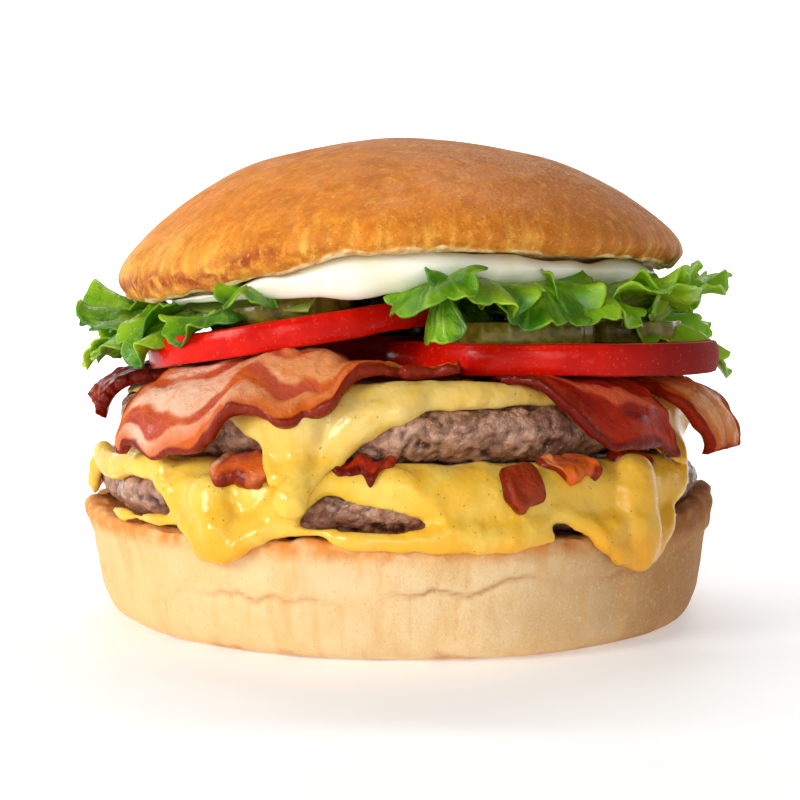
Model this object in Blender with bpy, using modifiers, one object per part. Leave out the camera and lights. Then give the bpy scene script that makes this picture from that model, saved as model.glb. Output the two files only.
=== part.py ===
"""Bacon burger with two patties: bun halves, melted cheese, bacon, tomato, pickles, lettuce and mayonnaise.

Design lengths are millimetres, and MM turns them into Blender's metres. The origin is the centre of the
base, +Z is up and -Y is the front. Angles are degrees round +Z: 0 is the right side and 270 the front.
"""

import math

import bmesh
import bpy
from mathutils import Euler, Vector, noise

MM = 0.001
WELD = 1e-6
FULL_TURN = 360.0
FRONT = 270.0

# Driving dimensions
HEEL_RADIUS = 57.0
HEEL_TOP = 18.8
CROWN_RADIUS = 52.0
CROWN_TOP = 85.9
CROWN_UNDERSIDE = 62.3
LOWER_PATTY_RADIUS = 55.2
UPPER_PATTY_RADIUS = 52.0
PATTY_THICKNESS = 9.0
CHEESE_THICKNESS = 1.4
BACON_THICKNESS = 1.8
TOMATO_THICKNESS = 5.0
TILTED_TOMATO_THICKNESS = 4.5
PICKLE_THICKNESS = 3.0
LEANING_PICKLE_THICKNESS = 2.6
LEAF_THICKNESS = 0.8
BEND_START = 47.6
BEND_RADIUS = 9.6
GAP = 0.4
CHEESE_GAP = 0.52
MAYO_GAP = 0.5
MAYO_BASE = 59.3
HEART_RADIUS = 7.0
HEART_HEIGHT = 58.4
HEART_FLAT = 36.0

# Heights of the layers, from the bottom up
LOWER_PATTY_BASE = HEEL_TOP + 2 * GAP
LOWER_PATTY_TOP = LOWER_PATTY_BASE + PATTY_THICKNESS
UPPER_PATTY_BASE = LOWER_PATTY_TOP + CHEESE_GAP + CHEESE_THICKNESS + GAP
UPPER_PATTY_TOP = UPPER_PATTY_BASE + PATTY_THICKNESS
BACON_BASE = UPPER_PATTY_TOP + CHEESE_GAP + CHEESE_THICKNESS + GAP
TOMATO_BASE = BACON_BASE + BACON_THICKNESS + GAP
TOMATO_TOP = TOMATO_BASE + TOMATO_THICKNESS

# Mesh density
ROUND_SEGMENTS = 48
CHEESE_SEGMENTS = 60
CHEESE_ROWS = 7
BACON_ROWS = 4
LEAF_ROWS = 6
HEART_ROWS = 2
MAYO_SEGMENTS = 36
LEAF_COLUMNS_A_WAVE = 6
FRONT_CROWDING = 1.25
SHOULDER_CROWDING = 1.2
BACON_CROWDING = 0.75

# How each layer's edge varies with the angle round the burger
HEEL_RIM_RISE = {0: 3.6, 25: 2.4, 60: 1.0, 120: 0.8, 165: 1.2, 195: 1.4, 225: 0.7, 270: 0.4, 310: 0.6, 335: 2.0}
HEEL_FLARE = {0: 0.6, 30: 0.0, 90: -0.4, 150: 0.2, 185: 0.6, 225: 0.2, 270: 0.0, 315: -0.4, 340: 0.2}
HEEL_FOOT = {0: 1.0, 60: 0.0, 120: 0.0, 190: 0.8, 225: 0.8, 270: 0.9, 300: 2.4, 330: 2.4}
CROWN_RIM = {0: 62.3, 60: 62.6, 120: 60.6, 165: 57.6, 190: 56.6, 212: 56.0, 232: 57.8, 246: 60.4, 262: 63.3,
             280: 63.9, 315: 63.3, 340: 62.5}
LOWER_CHEESE_REACH = {0: 5, 25: 12, 48: 9, 66: 20, 80: 10, 98: 13, 118: 22, 134: 8, 160: 11, 178: 14, 190: 15,
                      200: 8, 210: 6.5, 220: 6.5, 227: 10, 233: 17, 238: 22, 243: 23, 248: 19.5, 252: 15,
                      257: 10, 263: 9, 270: 9.8, 275: 12.5, 278: 17, 282: 18.5, 288: 18, 292: 17, 296: 14.2,
                      300: 15.2, 304: 19, 307: 22, 312: 23.5, 318: 19.5, 325: 12.5, 333: 8, 345: 5.5}
UPPER_CHEESE_REACH = {0: 12, 22: 17, 40: 8, 66: 7, 92: 18, 108: 8, 140: 9, 158: 16, 176: 8, 205: 10, 225: 9,
                      238: 9, 245: 12, 250: 21, 256: 22, 260: 17, 264: 12.5, 270: 9.5, 277: 6.5, 290: 6,
                      304: 7, 314: 14, 320: 21, 328: 21, 334: 16, 346: 12}
MAYO_REACH = {0: 42, 60: 42, 120: 42, 180: 43, 215: 45, 240: 47.4, 254: 48.5, 262: 48.5, 275: 48, 290: 46,
              320: 43.5}
MAYO_UNDERSIDE = {0: 59.2, 90: 59.0, 180: 59.0, 235: 58.6, 248: 57.2, 264: 57.0, 270: 57.8, 276: 59.2, 330: 59.2}

# The radii of the crown's points on its cut face
CROWN_CUT_RADII = (0, 25, 37, 42, 47.6)

# Profiles as (radius, height) from the middle of the underside round to the middle of the top
HEEL_PROFILE = [(0, 0), (30, 0), (47, 0), (51.2, 1.0), (53.6, 3.8), (54.8, 8), (55.6, 12.6), (56.8, 16.4),
                (56.6, 18.6), (54.6, 19.0), (50, HEEL_TOP), (28, HEEL_TOP), (0, HEEL_TOP)]
# A patty's as shares of its radius and thickness
PATTY_PROFILE = [(0, 0), (0.5, 0), (0.87, 0), (0.945, 0.09), (0.985, 0.3), (1.0, 0.56), (0.985, 0.8),
                 (0.935, 0.95), (0.86, 1), (0.5, 1), (0, 1)]
# The way over a patty's shoulder, as (radius past its edge, height over its top)
PATTY_SHOULDER = [(-8, 0), (-3.2, -0.15), (-0.4, -1.5), (0.35, -4.2)]
# The crown's dome as shares of its radius and of the height from its rim to its top
DOME_PROFILE = [(0.95, 0), (0.985, 0.05), (1.0, 0.13), (0.98, 0.235), (0.925, 0.36), (0.84, 0.5), (0.725, 0.65),
                (0.58, 0.79), (0.4, 0.905), (0.2, 0.975), (0, 1)]


def smooth(share):
    """0 below 0, 1 above 1, and an even S between."""
    share = min(1.0, max(0.0, share))
    return share * share * (3 - 2 * share)


def spline(a, b, c, d, t):
    """Catmull-Rom between b and c, for numbers or vectors."""
    return 0.5 * ((b * 2) + (c - a) * t + (a * 2 - b * 5 + c * 4 - d) * t**2 + (b * 3 - a - c * 3 + d) * t**3)


def curve_at(points, share):
    """The point at share of the way, 0 to 1, along a smooth curve through evenly spaced points."""
    last = len(points) - 1
    place = min(1.0, max(0.0, share)) * last
    i = min(int(place), last - 1)
    ends = [Vector(points[min(max(k, 0), last)]) for k in range(i - 1, i + 3)]
    return spline(*ends, place - i)


def ring(angle, knots):
    """A value that runs smoothly round the burger through the knots {angle: value}."""
    angle %= FULL_TURN
    angles = sorted(knots)
    after = next((k for k in angles if k > angle), angles[0])
    before = angles[angles.index(after) - 1]
    span = (after - before) % FULL_TURN
    share = smooth(((angle - before) % FULL_TURN) / span)
    return knots[before] + (knots[after] - knots[before]) * share


def lumps(x, y, z, size, seed=0):
    """Even noise from about -1 to 1, whose bumps are about size across."""
    return noise.noise(Vector((x, y, z)) / size + Vector((seed * 7.3, seed * 3.1, seed * 5.7)))


def polar(radius, angle, height):
    turn = math.radians(angle)
    return Vector((radius * math.cos(turn), radius * math.sin(turn), height))


def crowded(share):
    """The angle at share of a full turn, with steps that are finest at the front."""
    side = 2 * share - 1
    return FRONT + math.copysign(abs(side) ** FRONT_CROWDING, side) * FULL_TURN / 2


def material(name, colour, roughness):
    made = bpy.data.materials.new(name)
    made.use_nodes = True
    shader = made.node_tree.nodes["Principled BSDF"]
    shader.inputs["Base Color"].default_value = (*colour, 1)
    shader.inputs["Roughness"].default_value = roughness
    shader.inputs["Metallic"].default_value = 0.0
    return made


def finished(name, bm, finish, collection):
    """The bmesh as an object of the burger, shaded smooth."""
    mesh = bpy.data.meshes.new(name)
    bm.to_mesh(mesh)
    bm.free()
    mesh.materials.append(finish)
    mesh.shade_smooth()
    mesh.set_sharp_from_angle(angle=math.radians(50))
    made = bpy.data.objects.new(name, mesh)
    collection.objects.link(made)
    return made


def turned(name, segments, rings, place, finish, collection):
    """A round closed body: a UV sphere whose points move to place(angle, share), share 0 at the bottom pole."""
    bm = bmesh.new()
    bmesh.ops.create_uvsphere(bm, u_segments=segments, v_segments=rings, radius=1)
    for vert in bm.verts:
        column = round(math.atan2(vert.co.y, vert.co.x) / math.tau * segments) % segments
        share = 1 - math.acos(max(-1.0, min(1.0, vert.co.z))) / math.pi
        vert.co = place(crowded(column / segments), share) * MM
    return finished(name, bm, finish, collection)


def sheet(name, columns, rows, place, thickness, finish, collection):
    """A thin body: a grid whose points move to place(across, along), made solid to both sides."""
    bm = bmesh.new()
    bmesh.ops.create_grid(bm, x_segments=columns, y_segments=rows, size=1)
    for vert in bm.verts:
        vert.co = place((vert.co.x + 1) / 2, (vert.co.y + 1) / 2) * MM
    bmesh.ops.remove_doubles(bm, verts=bm.verts, dist=WELD)
    bmesh.ops.recalc_face_normals(bm, faces=bm.faces)
    made = finished(name, bm, finish, collection)
    solid = made.modifiers.new("thickness", "SOLIDIFY")
    solid.thickness = thickness * MM
    solid.offset = 0.0


# Bun


def heel_point(angle, share):
    """The heel: a flat base, a bulging side and a flared rim that turns up at the right."""
    radius, height = curve_at(HEEL_PROFILE, share)
    outside = smooth((radius - 44) / 8)
    upper = smooth(height / HEEL_TOP)
    radius += outside * (upper * ring(angle, HEEL_FLARE) + (1 - upper) ** 2 * ring(angle, HEEL_FOOT))
    side = polar(radius, angle, height)
    radius += outside * 0.5 * lumps(*side, 22, seed=1)
    rim = smooth((radius - 50.5) / 4) * smooth((height - 8) / 9)
    return polar(radius, angle, height + rim * ring(angle, HEEL_RIM_RISE))


def crown_underside(angle, radius):
    """The height of the crown's cut face, which is flat inside and follows the rim near the edge."""
    return CROWN_UNDERSIDE + (ring(angle, CROWN_RIM) + 1.1 - CROWN_UNDERSIDE) * smooth((radius - 37) / 11)


def crown_point(angle, share):
    """The crown: a low dome whose rim arches up at the front and droops at the left."""
    rim = ring(angle, CROWN_RIM)
    underside = [(radius, crown_underside(angle, radius)) for radius in CROWN_CUT_RADII]
    dome = [(CROWN_RADIUS * across, rim + up * (CROWN_TOP - rim)) for across, up in DOME_PROFILE]
    radius, height = curve_at(underside + dome, share)
    side = polar(radius, angle, height)
    outside = smooth((radius - 20) / 25) * smooth((height - rim - 1) / 4)
    return polar(radius + outside * 0.7 * lumps(*side, 26, seed=2), angle, height)


# Patties


def patty_radius(angle, base_radius, seed):
    at = polar(base_radius, angle, 0)
    return base_radius + 0.6 * lumps(*at, 24, seed)


def patty_point(angle, share, base_radius, base, seed):
    """A patty with crags of ground beef round its side."""
    across, up = curve_at(PATTY_PROFILE, share)
    radius = across * patty_radius(angle, base_radius, seed)
    height = base + up * PATTY_THICKNESS
    crag = 0.5 + 0.9 * lumps(*polar(radius, angle, height * 1.3), 7, seed)
    return polar(radius - max(0.0, crag) * smooth((across - 0.84) / 0.1), angle, height)


def lower_patty_point(angle, share):
    return patty_point(angle, share, LOWER_PATTY_RADIUS, LOWER_PATTY_BASE, seed=3)


def upper_patty_point(angle, share):
    return patty_point(angle, share, UPPER_PATTY_RADIUS, UPPER_PATTY_BASE, seed=4)


# What drapes over a patty: points at a distance past its shoulder, lifted off the surface


def over_shoulder(edge, top):
    return [(edge + out, top + up) for out, up in PATTY_SHOULDER]


def lower_support(angle):
    """The way down over the lower patty's edge and the heel's side, as (radius, height)."""
    edge = patty_radius(angle, LOWER_PATTY_RADIUS, seed=3)
    rim = HEEL_TOP + ring(angle, HEEL_RIM_RISE)
    out = HEEL_RADIUS + max(0.0, ring(angle, HEEL_FLARE))
    return over_shoulder(edge, LOWER_PATTY_TOP) + [
        (edge + 0.5, max(rim + 1.2, 22.2)), (out + 0.2, rim + 0.1), (out + 0.4, rim - 3.2), (out - 0.2, rim - 6.4)]


def upper_support(angle):
    """The way down over the upper patty's edge and on to the lower layer of cheese."""
    edge = patty_radius(angle, UPPER_PATTY_RADIUS, seed=4)
    foot = UPPER_PATTY_BASE
    return over_shoulder(edge, UPPER_PATTY_TOP) + [
        (edge + 0.4, foot + 2.6), (edge + 1.9, foot + 0.4), (56.4, foot - 2), (58.4, foot - 4.6), (59, foot - 8)]


def draped(support, angle, distance, lift):
    """A point at distance along the support from its first point, lifted off it."""
    path = [Vector(p) for p in support]
    for start, end in zip(path, path[1:]):
        length = (end - start).length
        if distance <= length:
            break
        distance -= length
    along = (end - start).normalized()
    spot = start + along * min(distance, length)
    return polar(spot.x - along.y * lift, angle, spot.y + along.x * lift)


def cheese_slice(name, support, reach, finish, collection):
    """Melted cheese: a disc on the patty's top whose edge hangs down by reach(angle)."""
    lift = CHEESE_GAP + CHEESE_THICKNESS / 2

    def place(across, along):
        angle = crowded(across)
        way = support(angle)
        row = along * CHEESE_ROWS
        if row <= 1:
            return polar(way[0][0] * row, angle, way[0][1] + lift)
        past = ((row - 1) / (CHEESE_ROWS - 1)) ** SHOULDER_CROWDING
        return draped(way, angle, past * ring(angle, reach), lift)

    sheet(name, CHEESE_SEGMENTS, CHEESE_ROWS, place, CHEESE_THICKNESS, finish, collection)


def bacon_piece(name, angle, start, end, width, finish, collection):
    """A short end of bacon on the lower cheese, from start to end past the patty's shoulder."""
    lift = CHEESE_GAP + CHEESE_THICKNESS + GAP + BACON_THICKNESS / 2
    half_turn = math.degrees(width / 2 / LOWER_PATTY_RADIUS)

    def place(across, along):
        bow = 0.5 * math.sin(math.pi * across)
        turn = angle + half_turn * (2 * across - 1) * (1 - 0.25 * along)
        return draped(lower_support(turn), turn, start + (end - start) * along, lift + bow)

    sheet(name, 4, 3, place, BACON_THICKNESS, finish, collection)


# Bacon strips lie flat on the upper cheese and bend down past its edge. They are laid out on a flat plan, where a
# point's distance from the middle is its distance along the bent surface.


def bent(plan, lift):
    """The plan point on the bent surface, lifted off it."""
    past = max(0.0, plan.length - BEND_START)
    turn = min(past / BEND_RADIUS, math.pi / 2)
    below = max(0.0, past - BEND_RADIUS * math.pi / 2)
    radius = min(plan.length, BEND_START) + (BEND_RADIUS + lift) * math.sin(turn)
    height = BACON_BASE - BEND_RADIUS + (BEND_RADIUS + lift) * math.cos(turn) - below
    return polar(radius, math.degrees(math.atan2(plan.y, plan.x)), height)


def bacon_strip(name, inner, outer, waves, swing, flare, columns, finish, collection):
    """A strip between two long edges on the plan. Its outer edge ripples by swing in this many waves, and its
    end stands off by flare."""

    def place(across, along):
        along **= BACON_CROWDING
        plan = curve_at(inner, across).lerp(curve_at(outer, across), along)
        free = smooth((plan.length - 45.5) / 8)
        ripple = 0.5 - 0.5 * math.cos(math.tau * (waves * across + 0.12 * along))
        stand = flare * smooth((plan.length - 51) / 12)
        return bent(plan, BACON_THICKNESS / 2 + swing * ripple * free * (0.35 + 0.65 * along) + stand)

    sheet(name, columns, BACON_ROWS, place, BACON_THICKNESS, finish, collection)


# Slices and leaves


def round_slice(name, at, radius, thickness, tilt, sides, finish, collection):
    """A round slice whose middle of the underside is at, tilted so that its right side is up."""
    bm = bmesh.new()
    bmesh.ops.create_cone(bm, cap_ends=True, segments=sides, radius1=radius * MM, radius2=radius * MM,
                          depth=thickness * MM)
    bmesh.ops.translate(bm, verts=bm.verts, vec=(0, 0, thickness * MM / 2))
    for vert in bm.verts:
        vert.co.xy *= 1 + 0.02 * lumps(*(vert.co / MM), radius)
    made = finished(name, bm, finish, collection)
    made.location = Vector(at) * MM
    made.rotation_euler = Euler((0, -math.radians(tilt), 0))
    edge = made.modifiers.new("rounded skin", "BEVEL")
    edge.width = thickness * MM * 0.2
    edge.segments = 1
    edge.limit_method = "ANGLE"


def lettuce_leaf(name, start, end, shape, waves, swing, splay, flat_share, finish, collection):
    """A leaf from angle start to end, whose heart lies under the mayonnaise. shape(angle) is the radius and height
    where it comes out and those of its edge. It is flat over flat_share of the way to the edge. From there its
    frill swings up and down in this many waves, and its low lobes reach out further by splay."""

    def place(across, along):
        angle = start + (end - start) * across
        inner_radius, inner_height, outer_radius, outer_height = shape(angle)
        row = along * LEAF_ROWS
        if row < HEART_ROWS:
            radius = HEART_RADIUS + (inner_radius - HEART_RADIUS) * row / HEART_ROWS
            height = HEART_HEIGHT + (inner_height - HEART_HEIGHT) * smooth((radius - HEART_FLAT) / (inner_radius - HEART_FLAT))
            return polar(radius, angle, height)
        out = (row - HEART_ROWS) / (LEAF_ROWS - HEART_ROWS)
        frill = smooth((out - flat_share) / (0.95 - flat_share))
        phase = math.tau * (waves * across + 0.04 * math.sin(11 * across))
        swell = 0.78 + 0.22 * math.sin(phase * 0.37 + 1)
        radius = inner_radius + (outer_radius - inner_radius) * out
        radius += frill * swing * swell * (0.25 * math.cos(phase * 2 + 0.6) + splay * math.sin(phase))
        height = inner_height + (outer_height - inner_height) * smooth(out)
        return polar(radius, angle, height - frill * swing * swell * math.sin(phase))

    sheet(name, round(LEAF_COLUMNS_A_WAVE * waves), LEAF_ROWS, place, LEAF_THICKNESS, finish, collection)


def mayo_point(angle, share):
    """A thick swirl of mayonnaise under the crown, which sags at the front left."""
    reach = ring(angle, MAYO_REACH)
    top = min(crown_underside(angle, across * reach) for across in (0.8, 0.88)) - MAYO_GAP
    edge_top = crown_underside(angle, 0.965 * reach) - MAYO_GAP - 0.3
    low = min(ring(angle, MAYO_UNDERSIDE), edge_top - 1.2)
    profile = [(0, MAYO_BASE), (0.45 * reach, MAYO_BASE), (0.84 * reach, MAYO_BASE), (0.95 * reach, low),
               (reach, 0.45 * low + 0.55 * edge_top), (0.965 * reach, edge_top), (0.86 * reach, top),
               (0.45 * reach, CROWN_UNDERSIDE - MAYO_GAP), (0, CROWN_UNDERSIDE - MAYO_GAP)]
    radius, height = curve_at(profile, share)
    return polar(radius, angle, height)


# The tilt of the slices that lean on the right one
LEFT_TILT = 9.0
# Where the repeated pieces go: bacon ends as (angle, start, end, width) round the lower patty's shoulder
BACON_ENDS = [(241.6, 5.0, 11.5, 10.5), (266.2, 5.0, 9.5, 8.0), (288.5, 6.0, 13.0, 7.5), (298.6, 5.0, 9.6, 9.0),
              (311.0, 5.0, 9.2, 7.0), (58.0, 5.0, 11.0, 11.0), (128.0, 5.0, 11.5, 9.5)]
# Bacon strips as (inner edge, outer edge) on the plan, with waves, swing, flare and columns
BACON_STRIPS = {
    "bacon_strip_left_end": ([(-59, 10), (-48, 12), (-20, 13), (12, 14)],
                             [(-60, -8), (-48, -8), (-20, -9), (12, -8)], 2.0, 1.2, 0.0, 12),
    "bacon_strip_front_left": ([(-36, -25), (-29, -26), (-20, -28), (-9, -28), (2, -27), (10.6, -26)],
                               [(-46.5, -42.5), (-40.5, -48.6), (-30, -54.4), (-17, -54.5), (-3, -50.2),
                                (8.4, -46.2)],
                               3.6, 2.8, 0.0, 24),
    "bacon_strip_front_right": ([(12.5, -27), (20, -29), (28, -31), (35, -33.5)],
                                [(16, -46), (26, -51), (37, -50), (49, -41)], 2.0, 1.0, 0.0, 12),
    "bacon_strip_right_end": ([(28, 4), (45, -8), (60, -24)], [(18, -21), (35, -29.5), (52, -38)],
                              1.5, 0.8, 2.6, 12),
    "bacon_strip_back": ([(54, 14), (32, 22), (0, 27), (-28, 26), (-51, 19)],
                         [(44, 45), (24, 54), (-2, 58), (-28, 55), (-48, 44)], 3.5, 2.0, 0.0, 20),
}
# Tomato slices as (middle of the underside, radius, thickness, tilt)
TOMATO_SLICES = {
    "tomato_slice_right": ((26.5, -15, TOMATO_BASE), 29.2, TOMATO_THICKNESS, 0.0),
    "tomato_slice_left": ((-18.5, -18.8, TOMATO_BASE + 4.1), 25.2, TILTED_TOMATO_THICKNESS, LEFT_TILT),
    "tomato_slice_back": ((-4, 27, TOMATO_BASE), 19.4, TOMATO_THICKNESS, 0.0),
}
PICKLE_SLICES = {
    "pickle_slice_left": ((-20.2, -25.6, TOMATO_BASE + 8.9), 10.6, LEANING_PICKLE_THICKNESS, LEFT_TILT),
    "pickle_slice_front": ((20.6, -28.4, TOMATO_TOP + GAP), 12.0, PICKLE_THICKNESS, 0.0),
    "pickle_slice_right": ((38.6, -11.6, TOMATO_TOP + GAP), 12.0, PICKLE_THICKNESS, 0.0),
    "pickle_slice_back": ((-4, 27, TOMATO_TOP + GAP), 13.5, PICKLE_THICKNESS, 0.0),
}


def left_leaf_shape(angle):
    outward = ring(angle, {150: 55, 178: 58.5, 200: 57.5, 225: 54.5, 250: 51.5})
    height = ring(angle, {150: 51, 180: 49.8, 200: 50.2, 225: 53.6, 250: 56.8})
    return ring(angle, {150: 41, 210: 42, 222: 46, 236: 47.5, 250: 49.2}), 55.6, outward, height


def centre_leaf_shape(angle):
    return 43.0, 57.2, 53.0, ring(angle, {275: 56.2, 284: 57.2, 318: 56.8})


def right_leaf_shape(angle):
    outward = ring(angle, {318: 56.0, 332: 58.5, 350: 60.5, 15: 58, 30: 56})
    height = ring(angle, {318: 58.2, 326: 57.8, 337: 54.6, 350: 53.2, 15: 54, 30: 55})
    return 41.0, 56.9, outward, height


def back_leaf_shape(angle):
    return 41.0, 56.0, ring(angle, {32: 55, 90: 59, 148: 54}), ring(angle, {32: 55, 90: 55, 148: 52})


# Leaves as (start and end angle, shape, waves, swing, splay, flat share)
LEAVES = {
    "lettuce_left": (152, 250, left_leaf_shape, 5.5, 7.0, 0.1, 0.35),
    "lettuce_centre": (275, 317, centre_leaf_shape, 3.5, 6.0, 0.0, 0.35),
    "lettuce_right": (321, 388, right_leaf_shape, 4.0, 8.4, 0.45, 0.55),
    "lettuce_back": (33, 147, back_leaf_shape, 6.0, 5.0, 0.1, 0.45),
}


def build():
    for old in list(bpy.data.objects):
        bpy.data.objects.remove(old)
    burger = bpy.data.collections.new("bacon_burger")
    bpy.context.scene.collection.children.link(burger)

    crust = material("crust", (0.62, 0.30, 0.08), 0.55)
    crumb = material("crumb", (0.80, 0.58, 0.32), 0.75)
    beef = material("beef", (0.20, 0.11, 0.08), 0.5)
    cheese = material("cheese", (0.85, 0.52, 0.06), 0.3)
    bacon = material("bacon", (0.42, 0.09, 0.04), 0.3)
    tomato = material("tomato", (0.70, 0.02, 0.01), 0.2)
    pickle = material("pickle", (0.22, 0.20, 0.04), 0.25)
    lettuce = material("lettuce", (0.14, 0.42, 0.03), 0.35)
    mayonnaise = material("mayonnaise", (0.90, 0.85, 0.68), 0.3)

    turned("bun_heel", ROUND_SEGMENTS, len(HEEL_PROFILE) - 1, heel_point, crumb, burger)
    turned("patty_lower", ROUND_SEGMENTS, len(PATTY_PROFILE) - 1, lower_patty_point, beef, burger)
    cheese_slice("cheese_lower", lower_support, LOWER_CHEESE_REACH, cheese, burger)
    for number, (angle, start, end, width) in enumerate(BACON_ENDS, 1):
        bacon_piece(f"bacon_end_{number}", angle, start, end, width, bacon, burger)
    turned("patty_upper", ROUND_SEGMENTS, len(PATTY_PROFILE) - 1, upper_patty_point, beef, burger)
    cheese_slice("cheese_upper", upper_support, UPPER_CHEESE_REACH, cheese, burger)
    for name, (inner, outer, waves, swing, flare, columns) in BACON_STRIPS.items():
        bacon_strip(name, inner, outer, waves, swing, flare, columns, bacon, burger)
    for name, (at, radius, thickness, tilt) in TOMATO_SLICES.items():
        round_slice(name, at, radius, thickness, tilt, 28, tomato, burger)
    for name, (at, radius, thickness, tilt) in PICKLE_SLICES.items():
        round_slice(name, at, radius, thickness, tilt, 18, pickle, burger)
    for name, (start, end, shape, waves, swing, splay, flat_share) in LEAVES.items():
        lettuce_leaf(name, start, end, shape, waves, swing, splay, flat_share, lettuce, burger)
    turned("mayonnaise", MAYO_SEGMENTS, 8, mayo_point, mayonnaise, burger)
    turned("bun_crown", ROUND_SEGMENTS, len(CROWN_CUT_RADII) + len(DOME_PROFILE) - 1, crown_point, crust, burger)


build()
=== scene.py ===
"""Looks of the bacon burger: each layer as a detailed mesh over its solid, with procedural materials.

Lengths are millimetres and MM turns them into Blender's metres. +Z is up and -Y the front. Angles are degrees
round +Z: 0 is the right side and 270 the front.
"""

import itertools
import math

import bmesh
import bpy
import numpy as np
from mathutils import Matrix, Vector


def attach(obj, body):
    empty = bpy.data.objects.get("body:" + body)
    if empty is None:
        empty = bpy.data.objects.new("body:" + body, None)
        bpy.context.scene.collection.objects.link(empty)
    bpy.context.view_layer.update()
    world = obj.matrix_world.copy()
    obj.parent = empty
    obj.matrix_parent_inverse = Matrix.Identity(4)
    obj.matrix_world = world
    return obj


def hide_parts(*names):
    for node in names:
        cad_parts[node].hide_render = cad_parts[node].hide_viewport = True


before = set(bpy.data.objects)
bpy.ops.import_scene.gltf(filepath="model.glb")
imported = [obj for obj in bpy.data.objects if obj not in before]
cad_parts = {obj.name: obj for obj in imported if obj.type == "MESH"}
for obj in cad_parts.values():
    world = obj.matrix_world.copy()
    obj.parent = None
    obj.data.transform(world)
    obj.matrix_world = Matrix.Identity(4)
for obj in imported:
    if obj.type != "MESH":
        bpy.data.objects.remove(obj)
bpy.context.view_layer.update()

MM = 0.001
FULL_TURN = 360.0
FRONT = 270.0
FRONT_CROWDING = 1.3

# The dimensions that the solids were made with
HEEL_RADIUS = 57.0
HEEL_TOP = 18.8
CROWN_RADIUS = 52.0
CROWN_TOP = 85.9
CROWN_UNDERSIDE = 62.3
LOWER_PATTY_RADIUS = 55.2
UPPER_PATTY_RADIUS = 52.0
LOWER_PATTY_SEED = 3
UPPER_PATTY_SEED = 4
PATTY_THICKNESS = 9.0
CHEESE_THICKNESS = 1.4
BACON_THICKNESS = 1.8
TOMATO_THICKNESS = 5.0
LEANING_TOMATO_THICKNESS = 4.5
PICKLE_THICKNESS = 3.0
LEANING_PICKLE_THICKNESS = 2.6
GAP = 0.4
CHEESE_GAP = 0.52
BEND_START = 47.6
BEND_RADIUS = 9.6
LEFT_TILT = 9.0
MAYO_BASE = 59.3
MAYO_GAP = 0.5
HEART_RADIUS = 7.0
HEART_REACH = 43.0
HEART_HEIGHT = 58.4
HEART_FLAT = 36.0

# How far a soft slice sinks into the one under it
PRESS = 0.3

LOWER_PATTY_BASE = HEEL_TOP + 2 * GAP
LOWER_PATTY_TOP = LOWER_PATTY_BASE + PATTY_THICKNESS
UPPER_PATTY_BASE = LOWER_PATTY_TOP + CHEESE_GAP + CHEESE_THICKNESS + GAP
UPPER_PATTY_TOP = UPPER_PATTY_BASE + PATTY_THICKNESS
BACON_BASE = UPPER_PATTY_TOP + CHEESE_GAP + CHEESE_THICKNESS + GAP
TOMATO_BASE = BACON_BASE + BACON_THICKNESS + GAP
TOMATO_TOP = TOMATO_BASE + TOMATO_THICKNESS

# Columns and rows of the grids, and the grain of the merged cheese
HEEL_GRID = (520, 72)
CROWN_GRID = (480, 52)
PATTY_GRID = (640, 46)
CHEESE_GRID = (360, 44)
MAYO_GRID = (300, 44)
SLICE_GRID = (220, 26)
BIT_GRID = (40, 30)
FAN_GRID = (66, 22)
HEART_GRID = (60, 20)
STRIP_STEP = 0.5
STRIP_ROWS = 40
CHEESE_VOXEL = 0.6

# How each layer's edge varies with the angle round the burger
HEEL_RIM_RISE = {0: 3.6, 25: 2.4, 60: 1.0, 120: 0.8, 165: 1.2, 195: 1.4, 225: 0.7, 270: 0.4, 310: 0.6,
                 335: 2.0}
HEEL_FLARE = {0: 0.6, 30: 0.0, 90: -0.4, 150: 0.2, 185: 0.6, 225: 0.2, 270: 0.0, 315: -0.4, 340: 0.2}
HEEL_FOOT = {0: 1.0, 60: 0.0, 120: 0.0, 190: 0.8, 225: 0.8, 270: 0.9, 300: 2.4, 330: 2.4}
HEEL_CREASE = {0: 14, 60: 12, 120: 13, 180: 11, 216: 7.0, 237: 10.2, 249: 9.9, 260: 9.0, 270: 10.9, 281: 11.6,
               289: 14.4, 304: 12.6, 320: 12.4, 334: 16.0}
HEEL_TORN_FLAP = {0: 0.0, 150: 0.0, 250: 0.0, 330: 0.0, 340: 0.8, 346: 1.6, 352: 0.6}
CROWN_RIM = {0: 62.3, 60: 62.6, 120: 60.6, 165: 57.6, 190: 56.6, 212: 56.0, 232: 57.8, 246: 60.4, 262: 63.3,
             280: 63.9, 315: 63.3, 340: 62.5}
LOWER_CHEESE_REACH = {0: 5, 25: 12, 48: 9, 66: 20, 80: 10, 98: 13, 118: 22, 134: 8, 160: 11, 178: 14, 190: 15,
                      200: 8, 210: 6.5, 220: 6.5, 227: 10, 233: 16, 238: 20, 243: 20.5, 248: 17.5, 252: 15,
                      257: 10, 263: 9.0, 270: 9.8, 275: 12.5, 278: 17, 282: 18.5, 288: 18, 292: 17, 296: 14.2,
                      300: 15.2, 304: 19, 307: 22, 312: 23.5, 318: 19.5, 325: 12.5, 333: 8, 345: 5.5}
UPPER_CHEESE_REACH = {0: 12, 22: 17, 40: 8, 66: 7, 92: 18, 108: 8, 140: 9, 158: 16, 176: 8, 200: 5, 222: 5.5,
                      238: 9, 245: 12, 250: 21, 256: 22, 260: 17, 264: 12.5, 270: 9.5, 277: 6.5, 290: 6,
                      304: 6, 312: 7, 320: 13, 328: 20, 334: 16, 346: 12}
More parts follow.
